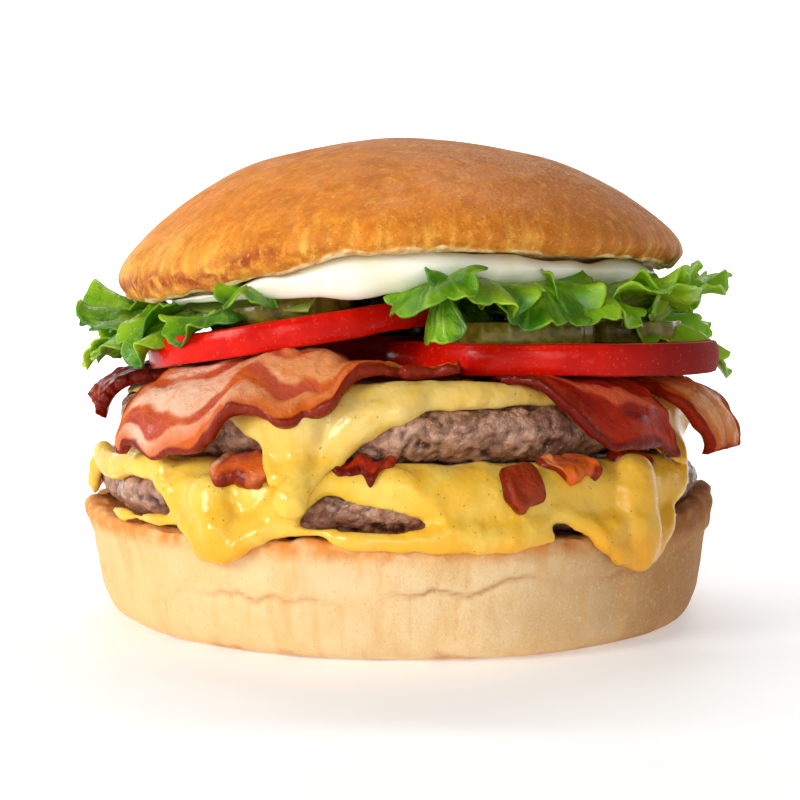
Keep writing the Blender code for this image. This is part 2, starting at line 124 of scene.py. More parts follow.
MAYO_REACH = {0: 42, 60: 42, 120: 42, 180: 43, 210: 46, 222: 49.0, 236: 49.5, 254: 48.8, 262: 48.5, 275: 48,
              290: 46, 312: 45.5, 322: 46, 329: 47.5, 340: 47.5, 352: 47, 8: 45}
MAYO_UNDERSIDE = {0: 59.2, 90: 59.0, 180: 59.0, 208: 57.6, 222: 55.6, 236: 55.8, 248: 56.6, 264: 57.0,
                  270: 57.8, 278: 59.2, 323: 59.2, 329: 56.8, 335: 59.2}

# Profiles as (radius, height), from the middle of the underside round to the middle of the top
HEEL_PROFILE = [(0, 0), (30, 0), (47, 0), (51.2, 1.0), (53.6, 3.8), (54.8, 8), (55.6, 12.6), (56.8, 16.4),
                (56.6, 18.6), (54.6, 19.0), (50, HEEL_TOP), (28, HEEL_TOP), (0, HEEL_TOP)]
CROWN_CUT_RADII = (0, 25, 37, 42, 47.6)
CROWN_LIP = 1.1
DOME_PROFILE = [(0.95, 0), (0.985, 0.05), (1.0, 0.13), (0.98, 0.235), (0.925, 0.36), (0.84, 0.5),
                (0.725, 0.65), (0.58, 0.79), (0.4, 0.905), (0.2, 0.975), (0, 1)]
PATTY_PROFILE = [(0, 0), (0.5, 0), (0.87, 0), (0.945, 0.09), (0.985, 0.3), (1.0, 0.56), (0.985, 0.8),
                 (0.935, 0.95), (0.86, 1), (0.5, 1), (0, 1)]
PATTY_SHOULDER = [(-8, 0), (-3.2, -0.15), (-0.4, -1.5), (0.35, -4.2)]
SLICE_PROFILE = [(0, 0.12), (0.4, 0.1), (0.8, 0.05), (0.965, 0), (0.992, 0.12), (1, 0.34), (1.002, 0.6),
                 (0.992, 0.87), (0.965, 1), (0.8, 0.96), (0.4, 0.92), (0, 0.9)]

# The melted cheese: reach, thickness, thicker edge, seed and how much it swells by the angle. SWELL_PLACE is
# the distance and the width of the swelling, and SHEET_START the radius at which the sheet begins to hang.
SWELL_PLACE = (4.6, 3.6)
SHEET_START = 56.0
BALL_FLATNESS = 0.72
LOWER_SHEET = {"reach_knots": LOWER_CHEESE_REACH, "body": 1.2, "bead": 0.8, "seed": 200, "swell": {0: 0.9}}
UPPER_SHEET = {"reach_knots": UPPER_CHEESE_REACH, "body": 1.1, "bead": 0.5, "seed": 230,
               "swell": {0: 0, 240: 0, 252: 1.6, 264: 2.6, 280: 2.8, 292: 2.3, 301: 0.4, 320: 0}}

# Drips, strands and puddles of the cheese, as paths of (angle, height, half width)
LOWER_RUNS = [
    [(237.5, 25.6, 3.9), (239.0, 22.8, 4.0), (240.5, 20.2, 3.5), (241.0, 18.6, 2.7)],
    [(233.0, 27.0, 2.2), (234.5, 22.5, 2.2), (237.0, 19.4, 2.2)],
    [(256.5, 28.2, 2.6), (252.5, 25.6, 2.8), (249.0, 22.8, 2.6), (245.5, 20.6, 2.4)],
    [(281.0, 20.4, 2.6), (274.0, 20.1, 2.0), (268.0, 19.8, 1.6), (262.0, 20.0, 1.5), (259.0, 20.4, 0.8)],
    [(312.0, 27.5, 4.6), (311.6, 22.5, 4.4), (311.6, 18.5, 3.6), (311.8, 15.6, 2.7)],
    [(284.0, 20.2, 2.0), (290.0, 20.0, 1.7), (294.0, 19.8, 1.2)],
    [(302.0, 20.0, 1.2), (306.0, 20.4, 2.4)],
    [(212.0, 21.2, 0.7), (216.0, 20.9, 1.2), (220.5, 20.9, 0.6), (225.0, 21.0, 1.2), (231.0, 21.2, 0.9)],
    [(245.0, 20.8, 1.0), (250.0, 20.9, 1.2), (255.0, 21.0, 0.9), (260.0, 21.0, 0.9)],
    [(202.0, 29.6, 2.6), (209.0, 28.2, 2.6), (217.0, 29.4, 2.2), (226.0, 29.0, 2.2)],
    [(257.0, 28.0, 1.6), (264.0, 27.6, 1.7), (272.0, 27.0, 1.8), (278.0, 25.4, 2.0)],
    [(262.0, 26.6, 1.3), (268.0, 25.4, 1.2), (276.0, 23.6, 1.5), (284.0, 22.6, 1.6), (292.0, 22.4, 1.3)],
    [(247.0, 27.8, 1.8), (242.5, 25.6, 1.6), (238.0, 23.6, 1.5)],
    [(283.0, 27.4, 1.6), (290.0, 25.8, 1.5), (297.0, 25.0, 1.4), (304.0, 25.8, 1.3)],
    [(318.5, 27.0, 1.5), (316.8, 23.0, 1.4), (314.6, 19.8, 1.6)],
]
UPPER_RUNS = [
    [(252.0, 37.0, 5.0), (253.0, 33.4, 4.0), (253.8, 30.4, 2.7), (254.2, 28.0, 2.5), (253.6, 26.0, 3.0)],
    [(266.5, 38.8, 2.4), (261.5, 36.0, 2.6), (257.5, 33.0, 2.2)],
    [(247.5, 38.4, 2.6), (249.8, 34.0, 2.2), (251.8, 30.8, 1.8)],
]

# Each strip of bacon between two long edges on the plan. Its waves are (number, depth), crests are heights
# of its outer edge along it, girth is how thick it is to the usual, and bands are the (middle, width) of
# its fat as shares of its width. A folded strip rises to the leaning slice of tomato over it.
BACON_STRIPS = {
    "bacon_strip_left_end": {
        "inner": [(-57, 7), (-48, 12), (-20, 13), (12, 14)],
        "outer": [(-58.5, -10), (-48, -9), (-20, -9), (12, -8)],
        "waves": (2.0, 0.3), "flare": 1.2, "crests": (-3.6, 0.0, 0.0), "girth": 1.5,
        "bands": [(0.35, 0.12)], "kind": "dark"},
    "bacon_strip_front_left": {
        "inner": [(-29, -26.5), (-26, -27), (-22, -27.5), (-18, -28), (-14, -28), (-9, -28), (-3, -27),
                  (4, -26.5), (10.6, -26)],
        "outer": [(-48.5, -40.5), (-43, -46.5), (-33.5, -53), (-25, -51.8), (-17, -55), (-10.5, -54),
                  (-4.5, -49.5), (2, -47.8), (9.5, -46.2)],
        "waves": (3.6, 0.5), "flare": 0.0, "crests": (1.4, 0.0, 0.0, 1.6, 0.3, 0.2, 2.3, 0.9, 1.8),
        "girth": 1.0, "bands": [(0.38, 0.09), (0.6, 0.08), (0.82, 0.06)], "kind": "pink", "folded": True},
    "bacon_strip_front_right": {
        "inner": [(12.5, -27), (20, -29), (28, -31), (35, -33.5)],
        "outer": [(16, -46), (26, -51), (37, -50), (49, -41)],
        "waves": (2.0, 1.0), "flare": 0.0, "crests": (0.6, 0.0), "girth": 1.0,
        "bands": [(0.3, 0.06), (0.72, 0.05)], "kind": "red"},
    "bacon_strip_right_end": {
        "inner": [(28, 4), (45, -8), (59, -25)],
        "outer": [(18, -21), (35, -29.5), (52.5, -37)],
        "waves": (1.5, 0.6), "flare": 4.0, "crests": (0.0, -1.0), "girth": 1.2,
        "bands": [(0.3, 0.2), (0.7, 0.14)], "kind": "amber"},
    "bacon_strip_back": {
        "inner": [(54, 14), (32, 22), (0, 27), (-28, 26), (-51, 19)],
        "outer": [(44, 45), (24, 54), (-2, 58), (-28, 55), (-48, 44)],
        "waves": (3.5, 2.0), "flare": 0.0, "crests": (0.5, 0.5, 3.0), "girth": 1.0,
        "bands": [(0.3, 0.12), (0.65, 0.12)], "kind": "pink"},
}
# The short ends of bacon: angle, start and end down the cheese, width and kind
BACON_ENDS = [(242.6, 3.2, 8.6, 12.5, "pink"), (264.6, 3.0, 7.4, 10.5, "red"),
              (289.0, 5.4, 10.8, 6.8, "dark"), (299.5, 3.2, 8.0, 10.0, "pink"),
              (314.5, 2.6, 7.4, 8.4, "red"), (58.0, 5.0, 11.0, 11.0, "amber"),
              (128.0, 5.0, 11.5, 9.5, "red")]

# Slices as the middle of the underside, radius, thickness and tilt
PICKLE_BASE = TOMATO_TOP - PRESS
PICKLE_DEPTH = PICKLE_THICKNESS + GAP + PRESS
TOMATO_SLICES = {
    "tomato_slice_right": ((26.5, -15, TOMATO_BASE - PRESS), 29.2, TOMATO_THICKNESS + PRESS, 0.0),
    "tomato_slice_left": ((-18.5, -18.8, TOMATO_BASE + 4.1), 25.2, LEANING_TOMATO_THICKNESS + PRESS,
                          LEFT_TILT),
    "tomato_slice_back": ((-4, 27, TOMATO_BASE - PRESS), 19.4, TOMATO_THICKNESS + PRESS, 0.0),
}
PICKLE_SLICES = {
    "pickle_slice_left": ((-18.6, -27.6, TOMATO_BASE + 8.9), 11.0, LEANING_PICKLE_THICKNESS + GAP, LEFT_TILT),
    "pickle_slice_front": ((20.6, -28.4, PICKLE_BASE), 12.0, PICKLE_DEPTH, 0.0),
    "pickle_slice_right": ((38.6, -11.6, PICKLE_BASE), 12.0, PICKLE_DEPTH, 0.0),
    "pickle_slice_back": ((-4, 27, PICKLE_BASE), 13.5, PICKLE_DEPTH, 0.0),
}
PICKLE_RIBS = 17

# Each leaf as the span and edge height of its heart, and its fans: angle, root radius, root height, length,
# spread, pitch, droop, yaw, roll and frill
LEAVES = {
    "lettuce_left": ((152, 250, 54.5), [
        (158, 40, 54.5, 16.0, 75, 0, 36, 0, 0, 2.0), (174, 40, 54.0, 17.0, 75, -8, 32, 0, 8, 2.0),
        (188, 41, 53.8, 17.5, 76, 4, -4, 0, -12, 1.9), (190, 47, 50.4, 12.6, 56, -18, 22, 0, 8, 1.4),
        (203, 42, 53.4, 16.5, 82, -6, 38, 0, 12, 1.9), (215, 42, 54.2, 14.5, 78, -12, 36, -5, -12, 2.0),
        (227, 43, 54.4, 11.5, 66, -4, 30, 6, 12, 1.6), (240, 43.5, 58.0, 10.0, 54, 8, 30, 0, -14, 1.6)]),
    "lettuce_centre": ((275, 317, 58.2), [
        (278, 43, 60.2, 12.5, 58, -6, 40, -16, 18, 1.6), (279, 47.0, 58.8, 10.4, 30, -58, 12, -30, 16, 1.4),
        (287, 42, 59.8, 12.5, 78, -2, 50, 0, -12, 1.8), (299, 42, 59.2, 13.0, 82, -8, 48, 4, 12, 1.7),
        (312, 42, 58.6, 13.0, 78, -8, 44, 0, -8, 1.9)]),
    "lettuce_right": ((321, 388, 55.5), [
        (323, 42, 58.4, 14.0, 78, 4, 14, 0, 10, 1.8), (338, 47.5, 51.8, 13.6, 72, 50, -10, 0, 0, 1.7),
        (331, 44, 56.4, 14.0, 80, 8, 10, 0, -10, 1.8), (342, 43, 54.4, 16.5, 84, -12, 34, 0, 12, 2.0),
        (351, 45, 56.6, 14.8, 76, 12, -10, 0, 14, 1.9), (354, 51, 50.8, 12.2, 66, -24, 26, 0, 0, 1.0),
        (6, 42, 54.8, 16.5, 75, -4, 24, 0, 0, 2.2), (21, 42, 55.2, 15.5, 75, -6, 30, 0, 10, 2.0)]),
    "lettuce_back": ((33, 147, 55.8), [
        (36 + 15 * k, 41, 55.6 + (k % 2), 15.5, 75, -6 + 5 * (k % 3), 22, 0, (-10, 8, 0)[k % 3], 2.2)
        for k in range(8)]),
}
# Inner folds hang down between the slices, under each leaf's heart: angle, radius, height and length
INNER_FOLDS = {
    "lettuce_left": [(150 + 17 * k, 30, 57.0, 10.5) for k in range(5)] + [
        (235, 33, 57.6, 5), (222, 36, 56.0, 7.0), (226, 39, 56.0, 6.5)],
    "lettuce_centre": [(272, 13, 58.4, 8.5), (292, 18, 58.4, 9.0), (312, 19, 58.4, 9.0)],
    "lettuce_right": [(328 + 19 * k, 23, 58.0, 9.0) for k in range(4)],
    "lettuce_back": [(40 + 20 * k, 27, 58.0, 9.0) for k in range(6)] + [(136, 36, 54.5, 11.5)],
}
INNER_FOLD_SHAPE = (80, -52, 10, 0, 0, 1.6)
FRILL_LENGTH = 13.0

# Each kind of bacon: its gloss, its colours of fat, lean, charred rim and glaze, and how far the fat turns
# amber towards the right
BACON_KINDS = {
    "pink": (0.14, (238, 190, 160), (188, 78, 54), (126, 22, 4), (208, 96, 20), 0.75),
    "red": (0.1, (198, 82, 50), (144, 24, 14), (100, 14, 4), (164, 42, 12), 0.0),
    "amber": (0.02, (212, 140, 80), (172, 68, 38), (124, 22, 6), (190, 90, 18), 0.0),
    "dark": (0.1, (140, 48, 18), (124, 28, 10), (112, 18, 5), (156, 56, 20), 0.0),
}

# The studio, in metres, watts and degrees
BURGER_MIDDLE = (0, 0, 0.045)
KEY_LIGHT = {"place": (-0.50, -0.42, 0.27), "target": BURGER_MIDDLE, "size": (0.24, 0.24), "power": 2.7,
             "tint": (1.0, 0.97, 0.92)}
FRONT_LIGHT = {"place": (-0.05, -0.70, 0.20), "target": BURGER_MIDDLE, "size": (0.22, 0.22), "power": 0.75,
               "tint": (1.0, 0.98, 0.95)}
WALL_LIGHT = {"place": (0, 0.7, 1.3), "target": (0, 1.9, 0.1), "size": (1.2, 0.6), "power": 34.0,
              "tint": (1.0, 1.0, 1.0)}
WORLD_STRENGTH = 0.14
FLOOR_GLOW = 0.34
FLOOR_PROFILE = [(0, 0), (0.3, 0), (0.8, 0), (1.3, 0), (1.6, 0.05), (1.8, 0.18), (1.9, 0.4), (1.95, 0.9)]
FLOOR_COLUMNS = 64
WHITE = (1, 1, 1, 1)
SENSOR_WIDTH = 36.0
PICTURE_WIDTH = 800
FOCAL_PIXELS = 1540.0
CAMERA_DISTANCE = 0.2885
CAMERA_HEIGHT = 0.0562
CAMERA_PITCH = 3.66


# Numbers and noise over whole arrays


def smooth(share):
    share = np.clip(share, 0.0, 1.0)
    return share * share * (3 - 2 * share)


def bell(value, middle, width):
    return np.exp(-(((value - middle) / width) ** 2))


def rounded(distance, size):
    """A quarter of a circle: 0 at the edge, and 1 from the distance size inwards."""
    return np.sqrt(1 - (1 - np.clip(distance / size, 0, 1)) ** 2)


def ring(angle, knots):
    """A value that runs smoothly round the burger through the knots {angle: value}."""
    at = np.array(sorted(knots), float)
    value = np.array([knots[k] for k in sorted(knots)], float)
    at = np.concatenate([at[-1:] - FULL_TURN, at, at[:1] + FULL_TURN])
    value = np.concatenate([value[-1:], value, value[:1]])
    turn = np.mod(angle, FULL_TURN)
    i = np.clip(np.searchsorted(at, turn, side="right") - 1, 0, len(at) - 2)
    return value[i] + (value[i + 1] - value[i]) * smooth((turn - at[i]) / (at[i + 1] - at[i]))


def curve_at(points, share):
    """Points at the shares, 0 to 1, along a smooth curve through evenly spaced points of any shape."""
    points = np.asarray(points, float)
    last = len(points) - 1
    place = np.clip(share, 0, 1) * last
    i = np.minimum(place.astype(int), last - 1)
    t = (place - i).reshape(-1, *[1] * (points.ndim - 1))
    a, b, c, d = (points[np.clip(i + k, 0, last)] for k in (-1, 0, 1, 2))
    return 0.5 * (2 * b + (c - a) * t + (2 * a - 5 * b + 4 * c - d) * t**2 + (3 * b - a - 3 * c + d) * t**3)


def lattice(cell, seed):
    """A random number from 0 to 1 for each whole-numbered cell."""
    n = cell[..., 0] * 73856093 ^ cell[..., 1] * 19349663 ^ cell[..., 2] * 83492791 ^ (seed + 11) * 1274126177
    n = (n ^ (n >> 13)) * 1540483477 & 0xFFFFFFFF
    n = (n ^ (n >> 15)) * 668265263 & 0xFFFFFFFF
    return ((n ^ (n >> 16)) & 0xFFFFFF) / 0xFFFFFF


def fuzz(points, size, seed):
    """Even noise from -1 to 1, whose bumps are about size across."""
    place = points / size
    base = np.floor(place).astype(np.int64)
    share = smooth(place - base)
    total = 0.0
    for corner in itertools.product((0, 1), repeat=3):
        weight = np.prod(np.where(np.array(corner) == 1, share, 1 - share), axis=-1)
        total = total + weight * lattice(base + np.array(corner), seed)
    return 2 * total - 1


def bumps(points, *layers):
    """Layers of even noise, each as (depth, size, seed)."""
    return sum(depth * fuzz(points, size, seed) for depth, size, seed in layers)


def fractal(points, size, seed):
    """Noise from about -1 to 1 with bumps of three sizes, each half the one before."""
    return bumps(points, *((0.5**k, size / 2**k, seed + 31 * k) for k in range(3))) / 1.6


def pebbles(points, size, seed):
    """Distance to the nearest of scattered middles, in sizes, and a random number for each middle."""
    place = points / size
    base = np.floor(place).astype(np.int64)
    near = np.full(place.shape[:-1], np.inf)
    tag = np.zeros(place.shape[:-1])
    for offset in itertools.product((-1, 0, 1), repeat=3):
        cell = base + np.array(offset)
        middle = cell + np.stack([lattice(cell, seed + k) for k in (1, 2, 3)], axis=-1)
        away = np.linalg.norm(place - middle, axis=-1)
        tag = np.where(away < near, lattice(cell, seed + 4), tag)
        near = np.minimum(near, away)
    return near, tag


def polar(radius, angle, height):
    turn = np.radians(angle)
    return np.stack(np.broadcast_arrays(radius * np.cos(turn), radius * np.sin(turn), height), axis=-1)


def stacked(*parts):
    """Points from their coordinates, each a number or an array."""
    return np.stack(np.broadcast_arrays(*parts), axis=-1)


def fine(count):
    """A number of columns or rows, as it is given."""
    return count


def crowded(columns):
    """Angles round a full turn, in steps that are finest at the front."""
    count = fine(columns)
    side = 2 * np.arange(count) / count - 1
    return FRONT + np.copysign(np.abs(side) ** FRONT_CROWDING, side) * FULL_TURN / 2


def stepped(*spans):
    """Shares in spans (start, end, steps), each step even within its span."""
    parts = [np.linspace(a, b, n, endpoint=False) for a, b, n in spans]
    return np.concatenate(parts + [[spans[-1][1]]])


def normals(points, around=False):
    """Unit normals of a grid of points, from its columns and rows."""
    if around:
        across = np.roll(points, -1, 0) - np.roll(points, 1, 0)
    else:
        across = np.gradient(points, axis=0)
    out = np.cross(across, np.gradient(points, axis=1))
    return out / np.maximum(np.linalg.norm(out, axis=-1, keepdims=True), 1e-9)


def raised(points, amount, around=True):
    """A grid of points moved out along its normals."""
    return points + normals(points, around) * amount[..., None]


# Meshes


def grid_faces(columns, rows, around=False, closed=False):
    """Corner numbers of a grid's faces. It may close on itself around its columns and along its rows."""
    number = np.arange(columns * rows).reshape(columns, rows)
    if around:
        number = np.concatenate([number, number[:1]])
    if closed:
        number = np.concatenate([number, number[:, :1]], axis=1)
    corners = [number[:-1, :-1], number[1:, :-1], number[1:, 1:], number[:-1, 1:]]
    return np.stack(corners, axis=-1).reshape(-1, 4)


def placed(name, mesh, finish, node):
    """A smooth object that stands for a node."""
    mesh.materials.clear()
    mesh.materials.append(finish)
    mesh.shade_smooth()
    made = bpy.data.objects.new(name, mesh)
    bpy.context.scene.collection.objects.link(made)
    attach(made, "root")
    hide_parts(node)
    return made


def joined(name, parts, finish, node, around=False):
    """One piece from grids of points. Each has facts, numbers for its points that the material reads."""
    start, places, faces = 0, [], []
    for points, _ in parts:
        faces.append(start + grid_faces(*points.shape[:2], around))
        places.append(points.reshape(-1, 3))
        start += len(places[-1])
    mesh = bpy.data.meshes.new(name)
    mesh.from_pydata((np.concatenate(places) * MM).tolist(), [], np.concatenate(faces).tolist())
    for key in parts[0][1]:
        values = [np.broadcast_to(facts[key], points.shape[:2]).ravel() for points, facts in parts]
        layer = mesh.attributes.new(key, "FLOAT", "POINT")
        layer.data.foreach_set("value", np.concatenate(values).astype(np.float32))
    return placed(name, mesh, finish, node)


def both_faces(top, under):
    """A closed section: columns whose rows run over the top, back along the underside and to the start."""
    return np.concatenate([top, under[:, ::-1], top[:, :1]], axis=1)


def sheet(top, under, facts):
    """A sheet's two faces as one grid, with its facts laid on both."""
    spread = {key: np.broadcast_to(value, top.shape[:2]) for key, value in facts.items()}
    return both_faces(top, under), {key: both_faces(value, value) for key, value in spread.items()}


def flipped(points, facts):
    """The same grid with its columns in the other order, which turns its faces over."""
    return points[::-1], {key: value[::-1] for key, value in facts.items()}


# The bun


def heel_surface(angle, share):
    spot = curve_at(HEEL_PROFILE, share)
    turn, radius = np.meshgrid(angle, spot[:, 0], indexing="ij")
    height = np.broadcast_to(spot[:, 1], radius.shape)
    outside = smooth((radius - 44) / 8)
    upper = smooth(height / HEEL_TOP)
    radius = radius + outside * (upper * ring(turn, HEEL_FLARE) + (1 - upper) ** 2 * ring(turn, HEEL_FOOT))
    rim = smooth((radius - 50.5) / 4) * smooth((height - 8) / 9)
    return polar(radius, turn, height + rim * ring(turn, HEEL_RIM_RISE)), outside


def make_heel(finish):
    columns, rows = HEEL_GRID
    angle = crowded(columns)
    side_start, side_end = 1.6 / 12, 9.6 / 12
    share = stepped((0, side_start, 3), (side_start, side_end, fine(rows)), (side_end, 1, 6))
    points, outside = heel_surface(angle, share)
    height = points[..., 2]
    rim = smooth((height - 15.5) / 3) * outside
    unrolled = stacked(np.radians(angle)[:, None] * HEEL_RADIUS, height, 0.0)
    girth = unrolled * [1, 0, 0]
    wrinkle = bumps(unrolled / [1, 5, 1], (1.0, 1.5, 3)) + bumps(unrolled / [1, 4, 1], (0.6, 0.8, 4))
    line = ring(angle, HEEL_CREASE)[:, None] + bumps(girth, (0.9, 5, 5), (0.5, 1.7, 6))
    crease = bell(height, line, 0.4) * smooth(0.62 + fuzz(girth, 11, 7))
    ledge = smooth((height - line) / 0.8) * smooth((line + 4.5 - height) / 4)
    amount = bumps(points, (0.45, 17, 1), (0.22, 6, 2)) + 0.05 * wrinkle * (0.5 + 0.5 * fuzz(points, 9, 9))
    amount = amount - 0.45 * crease + 0.3 * ledge + 0.8 * rim * fractal(points, 2.8, 8)
    points = raised(points, amount * outside * smooth(height / 1.5))
    points[..., 2] += rim * ring(angle, HEEL_TORN_FLAP)[:, None] * smooth((height - 16) / 3)
    points[..., 2] = np.maximum(points[..., 2], 0.0)
    # The material darkens the crease and the wrinkles' grooves as painted shade
    facts = {"rim": rim, "crease": crease, "wrinkle": 0.5 + 0.5 * wrinkle / 1.6}
    return joined("heel_bread", [(points, facts)], finish, "bun_heel", True)


def crown_underside(angle, radius):
    lip = ring(angle, CROWN_RIM) + CROWN_LIP
    return CROWN_UNDERSIDE + (lip - CROWN_UNDERSIDE) * smooth((radius - 37) / 11)


def crown_surface(angle, share):
    rim = ring(angle, CROWN_RIM)
    cut = [stacked(radius, crown_underside(angle, radius)) for radius in CROWN_CUT_RADII]
    dome = [stacked(CROWN_RADIUS * across, rim + up * (CROWN_TOP - rim)) for across, up in DOME_PROFILE]
    spot = curve_at(np.array(cut + dome), share)
    return polar(spot[..., 0].T, angle[:, None], spot[..., 1].T)


def make_crown(finish):
    columns, rows = CROWN_GRID
    angle = crowded(columns)
    first = len(CROWN_CUT_RADII) / (len(CROWN_CUT_RADII) + len(DOME_PROFILE) - 1)
    share = stepped((0, 0.18, 4), (0.18, first, fine(20)), (first, 0.72, fine(rows)), (0.72, 1, fine(20)))
    points = crown_surface(angle, share)
    height = points[..., 2]
    rim_height = ring(angle, CROWN_RIM)[:, None]
    radius = np.linalg.norm(points[..., :2], axis=-1)
    crumb_edge = 0.1 + bumps(points, (0.5, 2.2, 27), (0.4, 7.0, 28))
    dome = smooth((height - rim_height - crumb_edge) / 0.5) * smooth((share[None, :] - first + 0.03) / 0.02)
    unrolled = stacked(np.radians(angle)[:, None] * CROWN_RADIUS, height * 0.22, 0.0)
    streak = bumps(unrolled, (1.0, 1.3, 22), (0.5, 0.6, 23))
    low = smooth((72 - height) / 9)
    swell = bumps(points, (0.5, 24, 20), (0.22, 9, 21)) + 0.05 * fractal(points, 2.2, 24)
    ragged = bell(height, rim_height + 1.2, 1.8) * dome
    swell = swell + 0.05 * low * streak + 0.35 * ragged * fractal(points, 2.6, 29)
    crumb = (1 - dome) * smooth((radius - 25) / 10)
    points = raised(points, dome * smooth(radius / 12) * swell + 0.3 * crumb * fractal(points, 2.4, 25))
    near_rim = points[..., 2] - rim_height + 1.2 * fuzz(points, 4.0, 26)
    facts = {"dome": dome, "low": low, "streak": 0.5 + 0.3 * streak, "rim": bell(near_rim, 2.4, 2.2)}
    return joined("crown_bread", [(points, facts)], finish, "bun_crown", True)


# The patties


def patty_radius(angle, base_radius, seed):
    return base_radius + 0.6 * fuzz(polar(base_radius, angle, 0.0), 24, seed)


def make_patty(name, node, base_radius, base, seed, finish):
    columns, rows = PATTY_GRID
    angle = crowded(columns)
    share = stepped((0, 0.17, 3), (0.17, 0.83, fine(rows)), (0.83, 1, 3))
    across, up = curve_at(PATTY_PROFILE, share).T
    radius = across[None, :] * patty_radius(angle, base_radius, seed)[:, None]
    points = polar(radius, angle[:, None], base + up[None, :] * PATTY_THICKNESS)
    side = smooth((across[None, :] - 0.75) / 0.15)
    warp = points + stacked(*(fuzz(points, 2.3, seed + k) for k in (40, 41, 42)))
    coarse, tag = pebbles(warp * [1, 1, 1.25], 2.7, seed + 50)
    small, _ = pebbles(warp + 3, 1.15, seed + 60)
    pit = smooth((fractal(points, 3.4, seed + 71) - 0.3) / 0.3)
    grain = fractal(points, 0.8, seed + 80)
    amount = 0.5 - 0.75 * coarse**1.6 - 0.42 * small + fuzz(points, 8.5, seed + 70) - 0.5 * pit + 0.1 * grain
    points = raised(points, side * amount)
    points[..., 2] = np.clip(points[..., 2], base - 0.2, base + PATTY_THICKNESS + 0.2)
    # deep is how far a point lies in a crevice between lumps; the material paints it dark as shade
    facts = {"deep": np.clip(0.42 * coarse + 0.42 * small + 0.25 * pit, 0, 1.5), "tag": tag,
             "grain": 0.5 + 0.5 * grain}
    return joined(name, [(points, facts)], finish, node, True)


# Melted cheese


def lower_support(angle):
    """What the lower cheese lies on: (radius, height) spots from the patty's top out over the heel's rim."""
    edge = patty_radius(angle, LOWER_PATTY_RADIUS, LOWER_PATTY_SEED)
    rim = HEEL_TOP + ring(angle, HEEL_RIM_RISE)
    out = HEEL_RADIUS + np.maximum(0.0, ring(angle, HEEL_FLARE))
    shoulder = [stacked(edge + side, LOWER_PATTY_TOP + up) for side, up in PATTY_SHOULDER]
    hanging = [stacked(edge + 0.5, np.maximum(rim + 1.2, 22.2)), stacked(out + 0.2, rim + 0.1),
               stacked(out + 0.4, rim - 3.2), stacked(out - 0.2, rim - 6.4)]
    return np.array(shoulder + hanging)


def upper_support(angle):
    """What the upper cheese lies on, from the patty's top down to the lower cheese."""
    edge = patty_radius(angle, UPPER_PATTY_RADIUS, UPPER_PATTY_SEED)
    foot = UPPER_PATTY_BASE + 0 * edge
    shoulder = [stacked(edge + side, UPPER_PATTY_TOP + up) for side, up in PATTY_SHOULDER]
    hanging = [stacked(edge + 0.4, foot + 2.6), stacked(edge + 1.9, foot + 0.4), stacked(56.4, foot - 2.0),
               stacked(58.4, foot - 4.6), stacked(59.0, foot - 8)]
    return np.array(shoulder + hanging)


def draped(way, distance, lift):
    """(radius, height) at a distance along each column's way, lifted off it by lift."""
    dense = curve_at(way, np.linspace(0, 1, 80))
    steps = np.linalg.norm(np.diff(dense, axis=0), axis=-1)
    length = np.concatenate([np.zeros((1, dense.shape[1])), np.cumsum(steps, axis=0)])
    slope = np.gradient(dense, axis=0)
    slope /= np.linalg.norm(slope, axis=-1, keepdims=True)
    lines = np.concatenate([dense, slope], axis=-1)
    out = np.empty(distance.shape + (2,))
    for c in range(distance.shape[0]):
        r, z, dr, dz = (np.interp(distance[c], length[:, c], lines[:, c, k]) for k in range(4))
        size = np.hypot(dr, dz)
        out[c] = stacked(r - dz / size * lift[c], z + dr / size * lift[c])
    return out


def sheet_part(support, reach_knots, body, bead, swell, seed):
    """The draped sheet, as a closed ring of points in columns and rows."""
    columns, rows = CHEESE_GRID
    angle = crowded(columns)
    reach = ring(angle, reach_knots)
    ragged = bumps(polar(SHEET_START, angle, 0.0), (0.7, 5.5, seed), (0.4, 2.3, seed + 1))
    reach = (reach + ragged * smooth((reach - 3) / 8))[:, None]
    distance = reach * (1 - (1 - np.linspace(0, 1, rows)[None, :]) ** 1.4)
    away = reach - distance
    flat = polar(SHEET_START + distance, angle[:, None], 0.0)
    thick = body + bumps(flat, (0.4, 7, seed + 2), (0.2, 3, seed + 3))
    thick = thick + bead * bell(away, 2.0, 1.7) * smooth((reach - 5) / 6)
    thick = thick + ring(angle, swell)[:, None] * bell(distance, *SWELL_PLACE)
    low = np.full_like(distance, 0.15)
    over = draped(support(angle), distance, low + thick * rounded(away, 1.6) + 0.02)
    under = draped(support(angle), distance, low - 0.25)
    section = np.concatenate([over, under[:, ::-1]], axis=1)[:, ::-1]
    return polar(section[..., 0], angle[:, None], section[..., 1])


def on_drape(support, angle, height):
    """Radius of the draped surface at an angle and a height on its hanging part."""
    dense = curve_at(support(np.array([float(angle)])), np.linspace(0.3, 1, 120))[:, 0]
    return np.interp(-height, -dense[:, 1], dense[:, 0])


def add_runs(skin, support, runs):
    """Adds drips, strands and puddles as chains of flattened balls."""
    for path in runs:
        for angle, height, half in curve_at(path, np.linspace(0, 1, 9 * len(path))):
            radius = on_drape(support, angle, height) + 0.25 * half
            turn = Matrix.Rotation(math.radians(angle), 4, "Z")
            place = Matrix.Translation(Vector(polar(radius, angle, height)) * MM) @ turn
            shape = Matrix.Diagonal((BALL_FLATNESS * half * MM, half * MM, half * MM, 1))
            bmesh.ops.create_icosphere(skin, subdivisions=3, radius=1, matrix=place @ shape)


